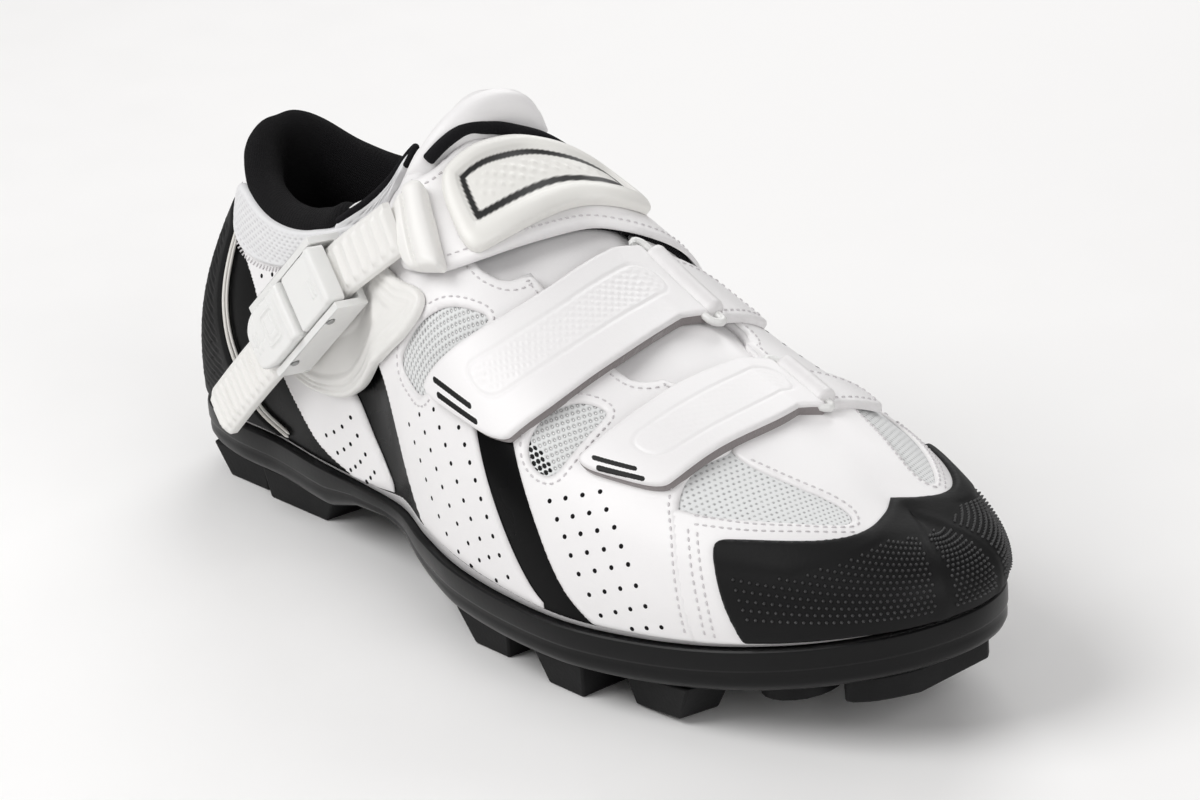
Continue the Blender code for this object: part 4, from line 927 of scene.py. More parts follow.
# ---------------------------------------------------------------- seams of the upper
frontSeam = ((12.60, 0.73), (12.42, 0.66), (12.30, 0.585), (12.34, 0.49), (12.52, 0.38), (12.68, 0.22),
             (12.80, 0.03))
windowSeam = ((12.58, 0.475), (13.3, 0.52), (13.9, 0.58), (14.45, 0.64), (14.78, 0.70), (14.62, 0.762),
              (14.2, 0.775), (13.52, 0.755), (12.9, 0.74))
toeSeam = ((12.62, 0.445), (13.3, 0.492), (13.9, 0.552), (14.5, 0.62), (14.82, 0.66))
downSeam = ((12.58, 0.43), (12.72, 0.32), (12.86, 0.18), (12.95, 0.03))
# corners, points along the line, move forwards and lift of each seam of the front, on both sides
frontSeams = ((frontSeam, 60, -0.0017, quarter["high"]), (windowSeam, 120, 0, front["high"]),
              (toeSeam, 80, 0, front["high"]), (downSeam, 60, 0, front["high"]),
              (downSeam, 60, 0.0020, front["high"]))
for mirrored in (False, True):
    for corners, count, forwards, lift in frontSeams:
        line = np.array(corners)
        if mirrored:
            line[:, 1] = 2 - line[:, 1]
        line = alongRows(line * flatScale, np.linspace(0, 1, count))
        sew(line + np.array([forwards, 0]), wrapMap, lift)
throatStations = np.arange(7.1, 12.1, 0.02)
throatLine = np.stack([throatStations, throatHeight(throatStations) - 0.004], -1) * flatScale
sew(insetLine(throatLine, -0.0020, closed=False), wrapMap, quarter["high"])
sew(insetLine(mirrorLoop(throatLine)[::-1], 0.0020, closed=False), wrapMap, medial["high"])

# ---------------------------------------------------------------- punched holes
holes = dict(radius=0.00062, lift=0.00003)
# rows of holes, each from its rear hole to its front one: station, sweep, station, sweep, count
holeRows = (
    (10.84, 0.326, 11.41, 0.426, 4), (10.98, 0.288, 11.55, 0.383, 4), (11.11, 0.250, 11.70, 0.340, 4),
    (11.21, 0.203, 11.83, 0.290, 4), (11.32, 0.156, 11.95, 0.240, 4), (11.45, 0.103, 12.07, 0.178, 4),
    (11.58, 0.049, 12.19, 0.116, 4), (11.98, 0.030, 12.38, 0.054, 3),
    (8.09, 0.183, 9.21, 0.338, 4), (8.24, 0.159, 9.35, 0.312, 4), (8.39, 0.135, 9.48, 0.287, 4),
    (8.52, 0.108, 9.59, 0.257, 4), (8.64, 0.082, 9.70, 0.227, 4), (8.79, 0.060, 9.80, 0.193, 4),
    (8.95, 0.040, 9.90, 0.160, 4), (9.20, 0.026, 9.99, 0.122, 4), (9.45, 0.018, 10.08, 0.085, 4),
    (9.95, 0.022, 10.19, 0.045, 2),
    (5.41, 0.154, 6.04, 0.229, 4), (5.62, 0.095, 6.14, 0.162, 4), (5.87, 0.043, 6.27, 0.098, 4),
    (6.22, 0.021, 6.44, 0.047, 3),
    (3.65, 0.713, 4.21, 0.778, 3), (3.86, 0.676, 4.42, 0.735, 3),
)
holeFlat = np.concatenate([np.linspace(row[:2], row[2:4], row[4]) for row in holeRows]) * flatScale
settle(discs("punched_holes", holeFlat, wrapMap, quarter["high"] + holes["lift"], holes["radius"], holeDark),
       "white_synthetic")
holeStations = np.arange(8.6, 11.6, 0.27)
medialGrid = np.array([(s + 0.135 * (k % 2), 1.40 + 0.055 * k) for k in range(6) for s in holeStations])
keepHoles = medialGrid[:, 1] < 1.72 - 0.04 * (medialGrid[:, 0] - 9.8)
settle(discs("punched_holes_medial", medialGrid[keepHoles] * flatScale, wrapMap, medial["high"] + holes["lift"],
             holes["radius"], holeDark), "white_synthetic")

# ---------------------------------------------------------------- toe guard and heel guard
guard = dict(low=0.0006, high=0.0022, step=0.0007, edge=0.0012, pip=0.00050, pipHeight=0.00065, pitch=0.0020,
             ridge=0.62)
halfGuard = [(13.42, 0.02, 1), (13.22, 0.16, 20), (12.98, 0.36, 10), (12.96, 0.42, 3), (13.35, 0.455, 20),
             (13.84, 0.497, 60), (14.35, 0.55, 60), (14.78, 0.625, 60), (15.12, 0.73, 60), (15.33, 0.86, 60)]
guardPoints = [(a - toe, b, c) for a, b, c in halfGuard] + [(-1.60, 0.96, 60), (-1.60, 1.3, 5)]
guardPoints += [(-a, b, c) for a, b, c in guardPoints[::-1]]
guardLoop = roundedLoop(guardPoints, (toeStation, toeRise))


def bandHeight(x):
    # lower border of the smooth band above the pipped field
    return np.interp(np.abs(x) / toeStation, (0, 1.6, 2.2, 3.0, 4.1),
                     (0.78, 0.66, 0.50, 0.36, 0.33)) * toeRise


def guardRelief(x, y, inside):
    # a low broad step up to the smooth band, and a low ridge on each side of the toe
    step = 0.5 + 0.5 * np.tanh((y - bandHeight(x)) / 0.0005)
    ridge = np.exp(-((np.abs(x) - guard["ridge"] * toeStation) / 0.0022) ** 2) * (y > 0)
    return 0.0004 * step + 0.0003 * ridge, 0 * x


layPiece("toe_guard", guard, [guardLoop], toeMap, blackRubber, "black_rubber", "toe_cap", relief=guardRelief,
         weld=True, limit=np.array([10.0, toeRise]),
         smooth=lambda x, y: np.clip((y / toeRise - 0.62) / 0.25, 0, 1))
gx, gy = np.meshgrid(np.arange(-4.0 * toeStation, 4.0 * toeStation, guard["pitch"]),
                     np.arange(0.06 * toeRise, 0.85 * toeRise, guard["pitch"] * 0.8), indexing="ij")
gx = gx + 0.5 * guard["pitch"] * (np.arange(gx.shape[1]) % 2)[None, :]
pips = np.stack([gx.ravel(), gy.ravel()], -1)
clear = np.abs(np.abs(pips[:, 0]) - guard["ridge"] * toeStation) > 0.0028
clear &= pips[:, 1] < bandHeight(pips[:, 0]) - 0.0012
inGuard = borderDistance(pips, [guardLoop])[0] < -0.0035
settle(cones("toe_guard_pips", pips[clear & inGuard], toeMap, guard["high"], guard["pip"], guard["pipHeight"],
             pipRubber), "black_rubber")

counter = dict(low=0.0006, high=0.0022, step=0.00068, edge=0.0012, pipingLift=0.0010)
halfCounter = [(4.30, 0.030, 1), (3.62, 0.10, 40), (3.12, 0.29, 60), (2.62, 0.50, 60), (2.42, 0.66, 40),
               (2.36, 0.775, 4)]
counterLoop = roundedLoop([(-a, b, c) for a, b, c in halfCounter] + halfCounter[::-1], (heelStation, heelRise))


def counterRelief(x, y, inside):
    # slanted ribs in the lower field, fading out towards its border
    field = np.clip((inside - 0.0035) / 0.0010, 0, 1)
    ribs = np.abs(np.sin(math.pi * (y + 0.18 * np.abs(x)) / 0.0023))
    return -0.00055 * field * (1 - ribs) + 0.0001 * field, 0 * x


layPiece("heel_guard", counter, [counterLoop], heelMap, blackRubber, "black_rubber", "heel_counter",
         relief=counterRelief)
for sign, side in ((-1, "lateral"), (1, "medial")):
    line = alongRows(np.array([(sign * a * heelStation, b * heelRise) for a, b, _ in halfCounter]),
                     np.linspace(0, 1, 90))
    for index, (gap, radius) in enumerate(((0.0009, 0.0006), (0.0026, 0.00042))):
        points, outward = liftedLine(heelMap, insetLine(line, -sign * gap, closed=False), counter["pipingLift"])
        piping = tubePiece(f"counter_piping_{side}_{index}", points, outward, radius, paleTrim, 8)
        settle(piping, "white_synthetic")
tabLine = np.array([(s, 0.80) for s in np.linspace(-2.3, 2.3, 60)]) * np.array([heelStation, heelRise])
sew(tabLine, heelMap, 0.0)

# ---------------------------------------------------------------- collar cuffs and lining
cuff = dict(low=0.0010, high=0.0030, step=0.00032, edge=0.0012)
cuffLoop = roundedLoop((
    (2.30, 0.93, 8), (2.28, 0.82, 8), (2.42, 0.765, 6), (2.9, 0.75, 30), (3.5, 0.76, 60), (4.35, 0.815, 60),
    (5.2, 0.868, 60), (5.75, 0.862, 30), (6.08, 0.835, 4), (6.12, 0.905, 5), (5.8, 0.955, 30),
    (5.2, 0.985, 60), (4.35, 0.992, 60), (3.5, 0.992, 60), (2.75, 0.992, 10)))


# the overcast seam under the cuff, rear to front
cuffHem = ((2.24, 0.92), (2.22, 0.82), (2.40, 0.745), (2.9, 0.73), (3.5, 0.742), (4.35, 0.795), (5.2, 0.848),
           (5.75, 0.842), (6.10, 0.820))


def cuffRelief(x, y, inside):
    # staggered long cells of the woven mesh, with a plain hem
    cell = np.exp(-(latticeGap(x * 0.55, y, 0.0013, 0.0026) / 0.00042) ** 2)
    field = np.clip((inside - 0.0012) / 0.0008, 0, 1)
    swellOf = 0.0004 * np.clip(inside / 0.012, 0, 1)
    return -0.00035 * cell * field + swellOf, np.clip(1.3 * cell - 0.3, 0, 1) * field * 0.7


for side, turned in sides:
    layPiece(f"cuff_{side}", cuff, [turned(cuffLoop)], wrapMap, cuffMesh, "cuff_mesh", f"collar_cuff_{side}",
             relief=cuffRelief)
    hem = alongRows(cuffHem, np.linspace(0, 1, 120)) * flatScale
    sew(turned(hem), wrapMap, quarter["high"] if side == "lateral" else medial["high"] + 0.0001,
        slant=1.0, pitch=0.0016, length=0.0020)

# a mesh tab from the cuff's front end over the tongue, bound in black along its top
tab = dict(low=0.0004, high=0.0026, step=0.0004, edge=0.0009, binding=0.0010, bindingLift=0.0018)
tabLoop = roundedLoop(((5.70, 0.865, 2), (6.10, 0.835, 6), (6.60, 0.790, 5), (6.74, 0.835, 5),
                       (6.56, 0.905, 8), (6.18, 0.965, 8), (5.70, 0.975, 2)))
tabBinding = ((5.74, 0.975), (6.02, 0.975), (6.28, 0.955), (6.48, 0.925), (6.66, 0.88), (6.74, 0.835),
              (6.66, 0.800))
for side, turned in sides:
    layPiece(f"collar_tab_{side}", tab, [turned(tabLoop)], wrapMap, cuffMesh, "cuff_mesh", relief=cuffRelief)
    line = alongRows(tabBinding, np.linspace(0, 1, 90)) * flatScale
    points, outward = liftedLine(wrapMap, turned(line), tab["bindingLift"])
    settle(tubePiece(f"collar_tab_binding_{side}", points, outward, tab["binding"], blackKnit, 12), "lining")

padding = dict(reach=6.15, along=150, around=40, depth=0.0085)
# the roll's section: lift inwards in shares of depth, height in shares of the wall
rollRows = ((0.02, 0.975), (-0.02, 1.005), (0.20, 1.045), (0.48, 1.052), (0.80, 1.02), (1.02, 0.94),
            (1.05, 0.84), (0.92, 0.72), (0.62, 0.62), (0.36, 0.55), (0.27, 0.52))
section = alongRows(rollRows, np.linspace(0, 1, padding["around"]))
rollPlaces = np.linspace(-1, 1, padding["along"]) * padding["reach"]
fade = np.sqrt(np.clip(1 - np.abs(rollPlaces / (padding["reach"] + 0.05)) ** 8, 0.05, 1))[:, None]
rollLift = -padding["depth"] * (0.27 + (section[None, :, 0] - 0.27) * fade)
rollLift = np.where(section[None, :, 1] > 0.97, -padding["depth"] * section[None, :, 0] * fade, rollLift)
rollHeight = np.broadcast_to(section[None, :, 1], rollLift.shape)
rollHeight = np.where(rollHeight > 0.97, 0.97 + (rollHeight - 0.97) * fade, rollHeight)
along = np.abs(rollPlaces)[:, None]
endDrop = 1 - 0.09 * np.clip((along - 5.6) / 0.55, 0, 1) ** 2
rollPoints = onRing(rollPlaces[:, None] + 0 * rollLift, rollHeight * endDrop, rollLift)
rollUv = np.stack([
    rollPlaces[:, None] * 1.5 + 0 * rollLift, np.linspace(0, 5.2, padding["around"]) + 0 * rollLift], -1)
lining = gridPiece("collar_lining", rollPoints, blackKnit, uv=rollUv)
tidyMesh(lining, 1e-6, outward=False)
addWall(lining, 0.0012)
settle(lining, "lining", "collar_padding")
print("cuffs and lining made")

# ---------------------------------------------------------------- tongue
tongue = dict(thick=0.0036, domeThick=0.0165, domeReach=0.022, outwards=0.34, gap=0.0006, swell=0.0024,
              stand=0.0125, border=0.0075)
tongueRows = ((13.1, 0.10), (12.4, 0.20), (11.5, 0.27), (10.2, 0.32), (9.0, 0.34), (8.3, 0.34), (7.75, 0.31))
tongueEdge = ((-0.60, -1.95, -0.60), (-0.42, -1.55, 0.20), (-0.20, -0.90, 0.78), (-0.05, -0.20, 0.98),
              (0.05, 0.55, 0.84), (0.15, 0.95, 0.42), (0.25, 0.95, -0.25))
share = np.linspace(-1, 1, 61)
rows = alongRows(tongueRows, np.linspace(0, 1, 19))
sweeps = rows[:, 1:] * share
through = np.clip(1 - (sweeps / 0.19) ** 4, 0, 1)
sheet = onShoe(rows[:, :1] + 0 * share, 1 + sweeps, tongue["swell"] * through - upper["wall"] - tongue["gap"])
edgeRow = sheet[-1][len(share) // 2] + alongRows(tongueEdge, (share + 1) / 2) * tongue["stand"]
rise = np.linspace(0, 1, 6)[1:, None, None]
sheet = np.concatenate([sheet, sheet[-1] + rise * (edgeRow - sheet[-1])])
# averaged along and across, so that no fold stays at the ridge or at the bend
weight = np.exp(-0.5 * (np.arange(-9, 10) / 3.5) ** 2)
sheet[:, 9:-9] = sum(w * sheet[:, k:k + len(share) - 18] for k, w in enumerate(weight / weight.sum()))
weight = np.exp(-0.5 * (np.arange(-3, 4) / 1.4) ** 2)
sheet[3:-3] = sum(w * sheet[k:k + len(sheet) - 6] for k, w in enumerate(weight / weight.sum()))
sheet = alongRows(sheet.reshape(len(sheet), -1), np.linspace(0, 1, 90)).reshape(90, len(share), 3)
rowDirection, acrossDirection = np.gradient(sheet, axis=0), np.gradient(sheet, axis=1)
outward = unit(np.cross(rowDirection, acrossDirection))
# the sheet's middle faces up
outward *= np.sign(outward[20, 30, 2])
# thickness grows towards the dome and falls in a quarter circle at the border
rowRun = np.cumsum(np.linalg.norm(rowDirection[:, len(share) // 2], axis=-1))
toTop = (rowRun[-1] - rowRun)[:, None]
toSide = (1 - np.abs(share))[None, :] * np.linalg.norm(sheet[:, -1] - sheet[:, 0], axis=-1)[:, None] / 2
nearBorder = np.clip(np.minimum(toTop, toSide) / tongue["border"], 0, 1)
dome = np.clip(1 - toTop / tongue["domeReach"], 0, 1) ** 0.7
thick = (tongue["thick"] + (tongue["domeThick"] - tongue["thick"]) * dome) * np.sqrt(1 - (1 - nearBorder) ** 2)
topSide = sheet + outward * tongue["outwards"] * thick[..., None] * dome[..., None]
bottomSide = topSide - outward * thick[..., None]
flatGrid = np.meshgrid(np.linspace(0, 12, 90), np.linspace(0, 6, len(share)), indexing="ij")
tongueUv = np.tile(np.stack(flatGrid, -1).reshape(-1, 2), (2, 1))
tonguePiece = padPiece("tongue_pad", topSide, bottomSide, whiteSynthetic, tongueUv, sharp=80)
tidyMesh(tonguePiece, 2e-6)
settle(tonguePiece, "white_synthetic", "tongue")

# ---------------------------------------------------------------- straps
felt = dict(low=0.0009, high=0.0034, step=0.0006, edge=0.0004)
strap = dict(low=0.0033, high=0.0045, step=0.00033, edge=0.0007)
slot = dict(low=0.0039, high=0.00454, step=0.00015, edge=0.0002, radius=0.00062)
diamondBump = dict(middle=0.00030, lower=0.00010)
strapLoops = {
    "middle": ((8.72, 0.315, 6), (10.13, 0.385, 6), (10.27, 0.45, 20), (10.50, 0.56, 60),
               (10.66, 0.68, 60), (10.80, 0.82, 60), (10.86, 0.95, 60), (10.88, 1.096, 1),
               (9.70, 1.096, 1), (9.66, 0.95, 60), (9.62, 0.80, 60), (9.48, 0.66, 60), (9.20, 0.52, 60),
               (8.90, 0.40, 20)),
    "lower": ((11.02, 0.458, 5), (12.14, 0.50, 6), (12.27, 0.56, 20), (12.50, 0.70, 60), (12.75, 0.82, 60),
              (12.93, 0.94, 60), (13.02, 1.096, 1), (11.94, 1.096, 1), (11.72, 0.94, 60), (11.52, 0.80, 60),
              (11.35, 0.66, 60), (11.16, 0.54, 20)),
}
slotRows = {
    "middle": ((8.99, 0.378, 9.58, 0.402), (9.10, 0.356, 9.72, 0.383)),
    "lower": ((11.26, 0.500, 11.76, 0.522), (11.36, 0.481, 11.90, 0.505)),
}
fieldLoops = {
    "middle": ((9.30, 0.455, 5), (9.80, 0.445, 5), (10.10, 0.58, 60), (10.32, 0.74, 60),
               (10.44, 0.90, 60), (10.50, 1.05, 8), (9.96, 1.05, 8), (9.92, 0.90, 60), (9.84, 0.74, 60),
               (9.58, 0.56, 60)),
    "lower": ((11.50, 0.580, 5), (11.96, 0.575, 5), (12.20, 0.70, 60), (12.45, 0.84, 60),
              (12.60, 0.96, 30), (12.66, 1.06, 8), (12.12, 1.06, 8), (12.02, 0.94, 60), (11.84, 0.80, 60),
              (11.66, 0.68, 60)),
}


def diamondRelief(fieldLoop, bump, pitch=0.0017):
    # a shallow field inside a fine groove, filled with small diamonds on a staggered lattice
    def relief(x, y, inside):
        deep = -borderDistance(np.stack([x, y], -1), [fieldLoop])[0]
        groove = np.exp(-(deep / 0.00030) ** 2)
        gaps = []
        for offset in (0.0, 0.5):
            gx, gy = x / pitch - offset, y / (1.15 * pitch) - offset
            gaps.append(np.abs(gx - np.round(gx)) + np.abs(gy - np.round(gy)))
        diamond = np.clip(1 - 2.6 * np.minimum(*gaps), 0, 1)
        field = np.clip((deep - 0.0007) / 0.0006, 0, 1)
        return -0.00030 * groove + field * bump * (diamond - 0.3), np.clip(0.5 * groove, 0, 1)
    return relief


def slotOutline(ends, radius):
    # a long slot with round ends
    ahead = (ends[1] - ends[0]) / np.linalg.norm(ends[1] - ends[0])
    aside = np.array([-ahead[1], ahead[0]])
    turn = np.linspace(-math.pi / 2, math.pi / 2, 7)[:, None]
    cap = radius * (np.cos(turn) * ahead + np.sin(turn) * aside)
    return np.concatenate([ends[1] + cap, ends[0] - cap])


for name in ("middle", "lower"):
    loop = roundedLoop(strapLoops[name])
    layPiece(f"{name}_strap_felt", felt, [insetLine(loop, -0.0002)], wrapMap, greyFelt, "white_synthetic")
    relief = diamondRelief(roundedLoop(fieldLoops[name]), diamondBump[name])
    layPiece(f"{name}_strap_top", strap, [loop], wrapMap, whiteSynthetic, "white_synthetic", f"{name}_strap",
             relief=relief)
    for index, (a, b, c, d) in enumerate(slotRows[name]):
        outline = slotOutline(np.array([(a, b), (c, d)]) * flatScale, slot["radius"])
        layPiece(f"{name}_strap_slot_{index}", slot, [outline], wrapMap, blackInk, "white_synthetic")
print("straps made")

# rings, their rolls and keepers on the medial side of the ridge: rear and front station of each
rings = dict(middle=(9.60, 10.98), lower=(11.86, 12.98))
ringShape = dict(sweep=1.13, nearSweep=1.078, lift=0.0030, rod=0.0011, roll=0.0031)
keeper = dict(low=0.0009, high=0.0029, step=0.0006, edge=0.0009, seam=0.0020)
for name, (rear, fore) in rings.items():
    farSide, nearSide = ringShape["sweep"], ringShape["nearSweep"]
    flat = np.linspace((rear - 0.01, farSide), (fore + 0.03, farSide), 40) * flatScale
    points, outward = liftedLine(wrapMap, flat, ringShape["lift"])
    settle(tubePiece(f"{name}_ring_roll", points[4:-4], outward[4:-4], ringShape["roll"], whiteSynthetic, 24),
           "white_synthetic")
    loop = evenLoop(roundedLoop((
        (rear, nearSide, 2), (fore + 0.04, nearSide, 2), (fore + 0.04, farSide, 2),
        (rear, farSide, 2))), 0.0007)
    points, outward = liftedLine(wrapMap, np.concatenate([loop, loop[:6]]), ringShape["lift"])
    settle(tubePiece(f"{name}_ring_rod", points, outward, ringShape["rod"], whitePlastic), "white_plastic",
           f"{name}_ring")
    keeperLoop = roundedLoop(((rear + 0.08, farSide + 0.01, 1), (fore - 0.06, farSide + 0.01, 1),
                              (fore - 0.28, farSide + 0.30, 4), (rear + 0.28, farSide + 0.30, 4)))
    layPiece(f"{name}_keeper_band", keeper, [keeperLoop], wrapMap, whiteSynthetic, "white_synthetic",
             f"{name}_keeper")
    sew(insetLine(keeperLoop, keeper["seam"]), wrapMap, keeper["high"], closed=True)

# ---------------------------------------------------------------- instep strap, badge and ladder bracket
instepLoop = roundedLoop((
    (7.06, 0.615, 3), (7.72, 0.48, 3), (8.45, 0.565, 20), (8.78, 0.67, 40), (8.98, 0.76, 60),
    (9.17, 0.87, 60), (9.32, 0.98, 60), (9.45, 1.08, 60), (9.52, 1.20, 60), (9.55, 1.34, 60),
    (9.50, 1.50, 60), (9.40, 1.66, 3), (8.40, 1.66, 3), (8.33, 1.48, 60), (8.25, 1.32, 60),
    (8.12, 1.18, 60), (7.98, 1.06, 60), (7.80, 0.96, 60), (7.62, 0.88, 60), (7.56, 0.80, 60),
    (7.50, 0.70, 30)))
pad = dict(low=0.0009, high=0.0030, step=0.0008, edge=0.0010)
instep = dict(low=0.0027, high=0.0040, step=0.0007, edge=0.0010, blur=0.0022, binding=0.0017,
              bindingLift=0.0044)
strapMap = softMap(instepLoop, instep["blur"])
layPiece("instep_strap_pad", pad, [insetLine(instepLoop, 0.0010)], strapMap, blackKnit, "lining")
layPiece("instep_strap_top", instep, [insetLine(instepLoop, 0.0002)], strapMap, whiteSynthetic,
         "white_synthetic", "instep_strap")
sew(insetLine(instepLoop, 0.0024), strapMap, instep["high"], closed=True)
rearEdge = ((7.50, 0.72), (7.53, 0.80), (7.60, 0.88), (7.78, 0.96), (7.96, 1.06), (8.10, 1.18), (8.23, 1.32),
            (8.31, 1.48), (8.38, 1.64))
line = alongRows(rearEdge, np.linspace(0, 1, 160)) * flatScale - np.array([0.0016, 0])
points, outward = liftedLine(strapMap, line, instep["bindingLift"])
settle(tubePiece("instep_strap_binding", points, outward, instep["binding"], blackKnit, 14), "lining")

badge = dict(low=0.0043, high=0.0073, step=0.00033, edge=0.0016, blur=0.0030)
badgeLoop = roundedLoop((
    (7.72, 0.730, 5), (8.75, 0.668, 6), (8.90, 0.77, 60), (9.00, 0.88, 60), (9.07, 0.98, 60),
    (9.12, 1.08, 60), (9.15, 1.21, 60), (9.10, 1.34, 5), (8.32, 1.32, 5), (8.20, 1.19, 60),
    (8.06, 1.07, 60), (7.92, 0.97, 60), (7.76, 0.88, 60), (7.70, 0.79, 30)))


def badgeRelief(x, y, inside):
    # a raised round frame, a sunk field with fine pips, and a black groove between them
    frameBump = 0.0004 * np.exp(-((inside - 0.0024) / 0.0012) ** 2)
    sunk = -0.0008 * np.clip((inside - 0.0036) / 0.0008, 0, 1)
    pipField = np.clip((inside - 0.0068) / 0.0008, 0, 1)
    pip = np.exp(-(latticeGap(x, y, 0.0026, 0.0031) / 0.00052) ** 2)
    grooveMask = np.clip(1 - np.abs(inside - 0.0053) / 0.0008, 0, 1)
    return frameBump + sunk + 0.00030 * pip * pipField, np.clip(4 * grooveMask, 0, 1)


badgeMaterial = surfaceMaterial("white_badge_plastic", (0.84, 0.83, 0.80), 0.40, shade=(0.97, 0.97, 0.96),
                                depth=0.015, maskColour=(0.014, 0.014, 0.014))
layPiece("strap_badge_pad", badge, [badgeLoop], softMap(badgeLoop, badge["blur"]), badgeMaterial,
         "white_plastic", "strap_badge", relief=badgeRelief)

bracket = dict(low=0.0043, high=0.0086, step=0.0003, edge=0.0013, blur=0.0035)
bracketLoop = roundedLoop(((8.12, 0.525, 2), (8.62, 0.60, 2), (8.10, 0.655, 2), (7.62, 0.685, 2),
                           (7.40, 0.625, 3), (7.42, 0.545, 3)))


def bracketRelief(x, y, inside):
    # a round roll along the side towards the badge, a groove, and a flat face that falls towards the ladder
    ahead = np.array([1.00 * perStation, -0.085 * perSweep])
    ahead /= np.linalg.norm(ahead)
    gap = (x - 7.62 * perStation) * ahead[1] - (y - 0.685 * perSweep) * ahead[0]
    roll = 0.0014 * np.sqrt(np.clip(1 - ((gap - 0.0024) / 0.0025) ** 2, 0, 1))
    groove = -0.0007 * np.exp(-((gap - 0.0053) / 0.0004) ** 2)
    return roll + groove - 0.10 * np.clip(gap - 0.006, 0, 1), 0 * x


layPiece("ladder_bracket_cap", bracket, [bracketLoop], softMap(bracketLoop, bracket["blur"]), softPlastic,
         "white_plastic", "ladder_bracket", relief=bracketRelief)

# ---------------------------------------------------------------- buckle: wing, body, cover, lever and ladder
wing = dict(low=0.0016, high=0.0038, step=0.0004, edge=0.0010)
wingLoop = roundedLoop((
    (4.62, 0.50, 6), (4.78, 0.395, 8), (5.20, 0.352, 30), (5.72, 0.335, 40), (6.20, 0.285, 40),
    (6.55, 0.240, 20), (6.95, 0.218, 12), (7.35, 0.250, 30), (7.77, 0.310, 40), (8.15, 0.385, 30),
    (8.35, 0.455, 8), (8.34, 0.50, 4), (8.05, 0.49, 10), (7.60, 0.44, 30), (7.15, 0.42, 30),
    (6.70, 0.47, 30), (6.20, 0.58, 30), (5.65, 0.66, 20), (5.05, 0.66, 20), (4.62, 0.60, 10)))


def wingRelief(x, y, inside):
    # two grooves along the border and a shallow dish within
    grooves = np.exp(-((inside - 0.0018) / 0.00035) ** 2) + np.exp(-((inside - 0.0030) / 0.00035) ** 2)
    dish = np.clip((inside - 0.0044) / 0.0012, 0, 1)
    return -0.0004 * grooves - 0.0006 * dish, 0.25 * np.clip(grooves, 0, 1)


layPiece("buckle_wing", wing, [wingLoop], wrapMap, softPlastic, "white_plastic", "buckle_base",
         relief=wingRelief)

# place and start are a station and a sweep: the buckle's middle and a point of the ladder in front of it
buckle = dict(place=(5.79, 0.669), start=(7.14, 0.487), length=0.038, width=0.021, wall=0.002, seam=0.0004)
cover = dict(low=0.0060, high=0.0104, step=0.0003, edge=0.0009)
lever = dict(low=0.0060, high=0.0113, step=0.0003, edge=0.0011)
ladder = dict(width=0.014, thick=0.0022, tooth=0.0010, pitch=0.0036, reach=0.042)
centre = onShoe(*buckle["place"], wing["high"])
startPoint = onShoe(*buckle["start"], wing["high"])
px, py = buckle["place"]
sideways = onShoe(px + 0.02, py, 0.0) - onShoe(px - 0.02, py, 0.0)
riseways = onShoe(px, py + 0.02, 0.0) - onShoe(px, py - 0.02, 0.0)
normal = unit(np.cross(sideways, riseways))
axisX = unit(centre - startPoint)
axisZ = unit(normal - normal.dot(axisX) * axisX)
axisY = np.cross(axisZ, axisX)
# the buckle sits on the highest point of the wing under it
seatStations, seatSweeps = np.meshgrid(np.linspace(4.0, 7.6, 60), np.linspace(0.25, 0.85, 60))
seat = onShoe(seatStations.ravel(), seatSweeps.ravel(), wing["high"]) - centre
local = seat @ np.stack([axisX, axisY, axisZ], -1)
under = (np.abs(local[:, 0]) < buckle["length"] / 2) & (np.abs(local[:, 1]) < buckle["width"] / 2)
origin = centre + (local[under, 2].max() + buckle["seam"]) * axisZ


def buckleMap(x, y, lift):
    return origin + x[..., None] * axisX + y[..., None] * axisY + lift[..., None] * axisZ


def roundedBox(x0, y0, x1, y1, corner):
    return roundedLoop(((x0, y0, corner), (x1, y0, corner), (x1, y1, corner), (x0, y1, corner)),
                       (0.001, 0.001))


softened("buckle_body", "buckle_body_shell", 0.0006, whitePlastic, "white_plastic")


def coverRelief(x, y, inside):
    # the knuckle at the rear, a shallow step and two short ribs
    knuckle = 0.0006 * np.exp(-((x + 0.0175) / 0.0016) ** 2)
    ribs = sum(np.exp(-((x + at) / 0.0004) ** 2) for at in (0.0140, 0.0122)) * (np.abs(y - 0.0012) < 0.0024)
    return knuckle + 0.0004 * ribs, 0 * x


def leverRelief(x, y, inside):
    # a thick front roll, a framed rounded rectangle, two short ribs and a falling tip
    roll = 0.0008 * np.exp(-((x - 0.0022) / 0.0016) ** 2)
    framed = -borderDistance(np.stack([x, y], -1), [roundedBox(6.2, -4.6, 13.6, 4.2, 1.6)])[0]
    bead = 0.00045 * np.exp(-(framed / 0.0004) ** 2) + 0.0003 * np.clip((framed - 0.0012) / 0.0004, 0, 1)
    ribs = sum(np.exp(-((x - at) / 0.0004) ** 2) for at in (0.0178, 0.0200)) * (np.abs(y) < 0.0026)
    fall = -0.0018 * np.clip((x - 0.016) / 0.010, 0, 1) ** 2
    return roll + bead + 0.0004 * ribs + fall, 0 * x


layPiece("buckle_cover_shell", cover, [roundedBox(-19, -8.1, -1, 8.1, 1.4)], buckleMap, whitePlastic,
         "white_plastic", "buckle_cover", relief=coverRelief)
leverLoop = roundedLoop((
    (0, -8.1, 1.2), (18, -8.1, 5), (25, -5.2, 3), (25, 5.2, 3), (18, 8.1, 5), (0, 8.1, 1.2)), (0.001, 0.001))
layPiece("buckle_lever_shell", lever, [leverLoop], buckleMap, whitePlastic, "white_plastic", "buckle_lever",
         relief=leverRelief)
for node in ("cover_pin", "lever_pin"):
    softened(node, node + "_rod", 0.0002, steel, "steel")

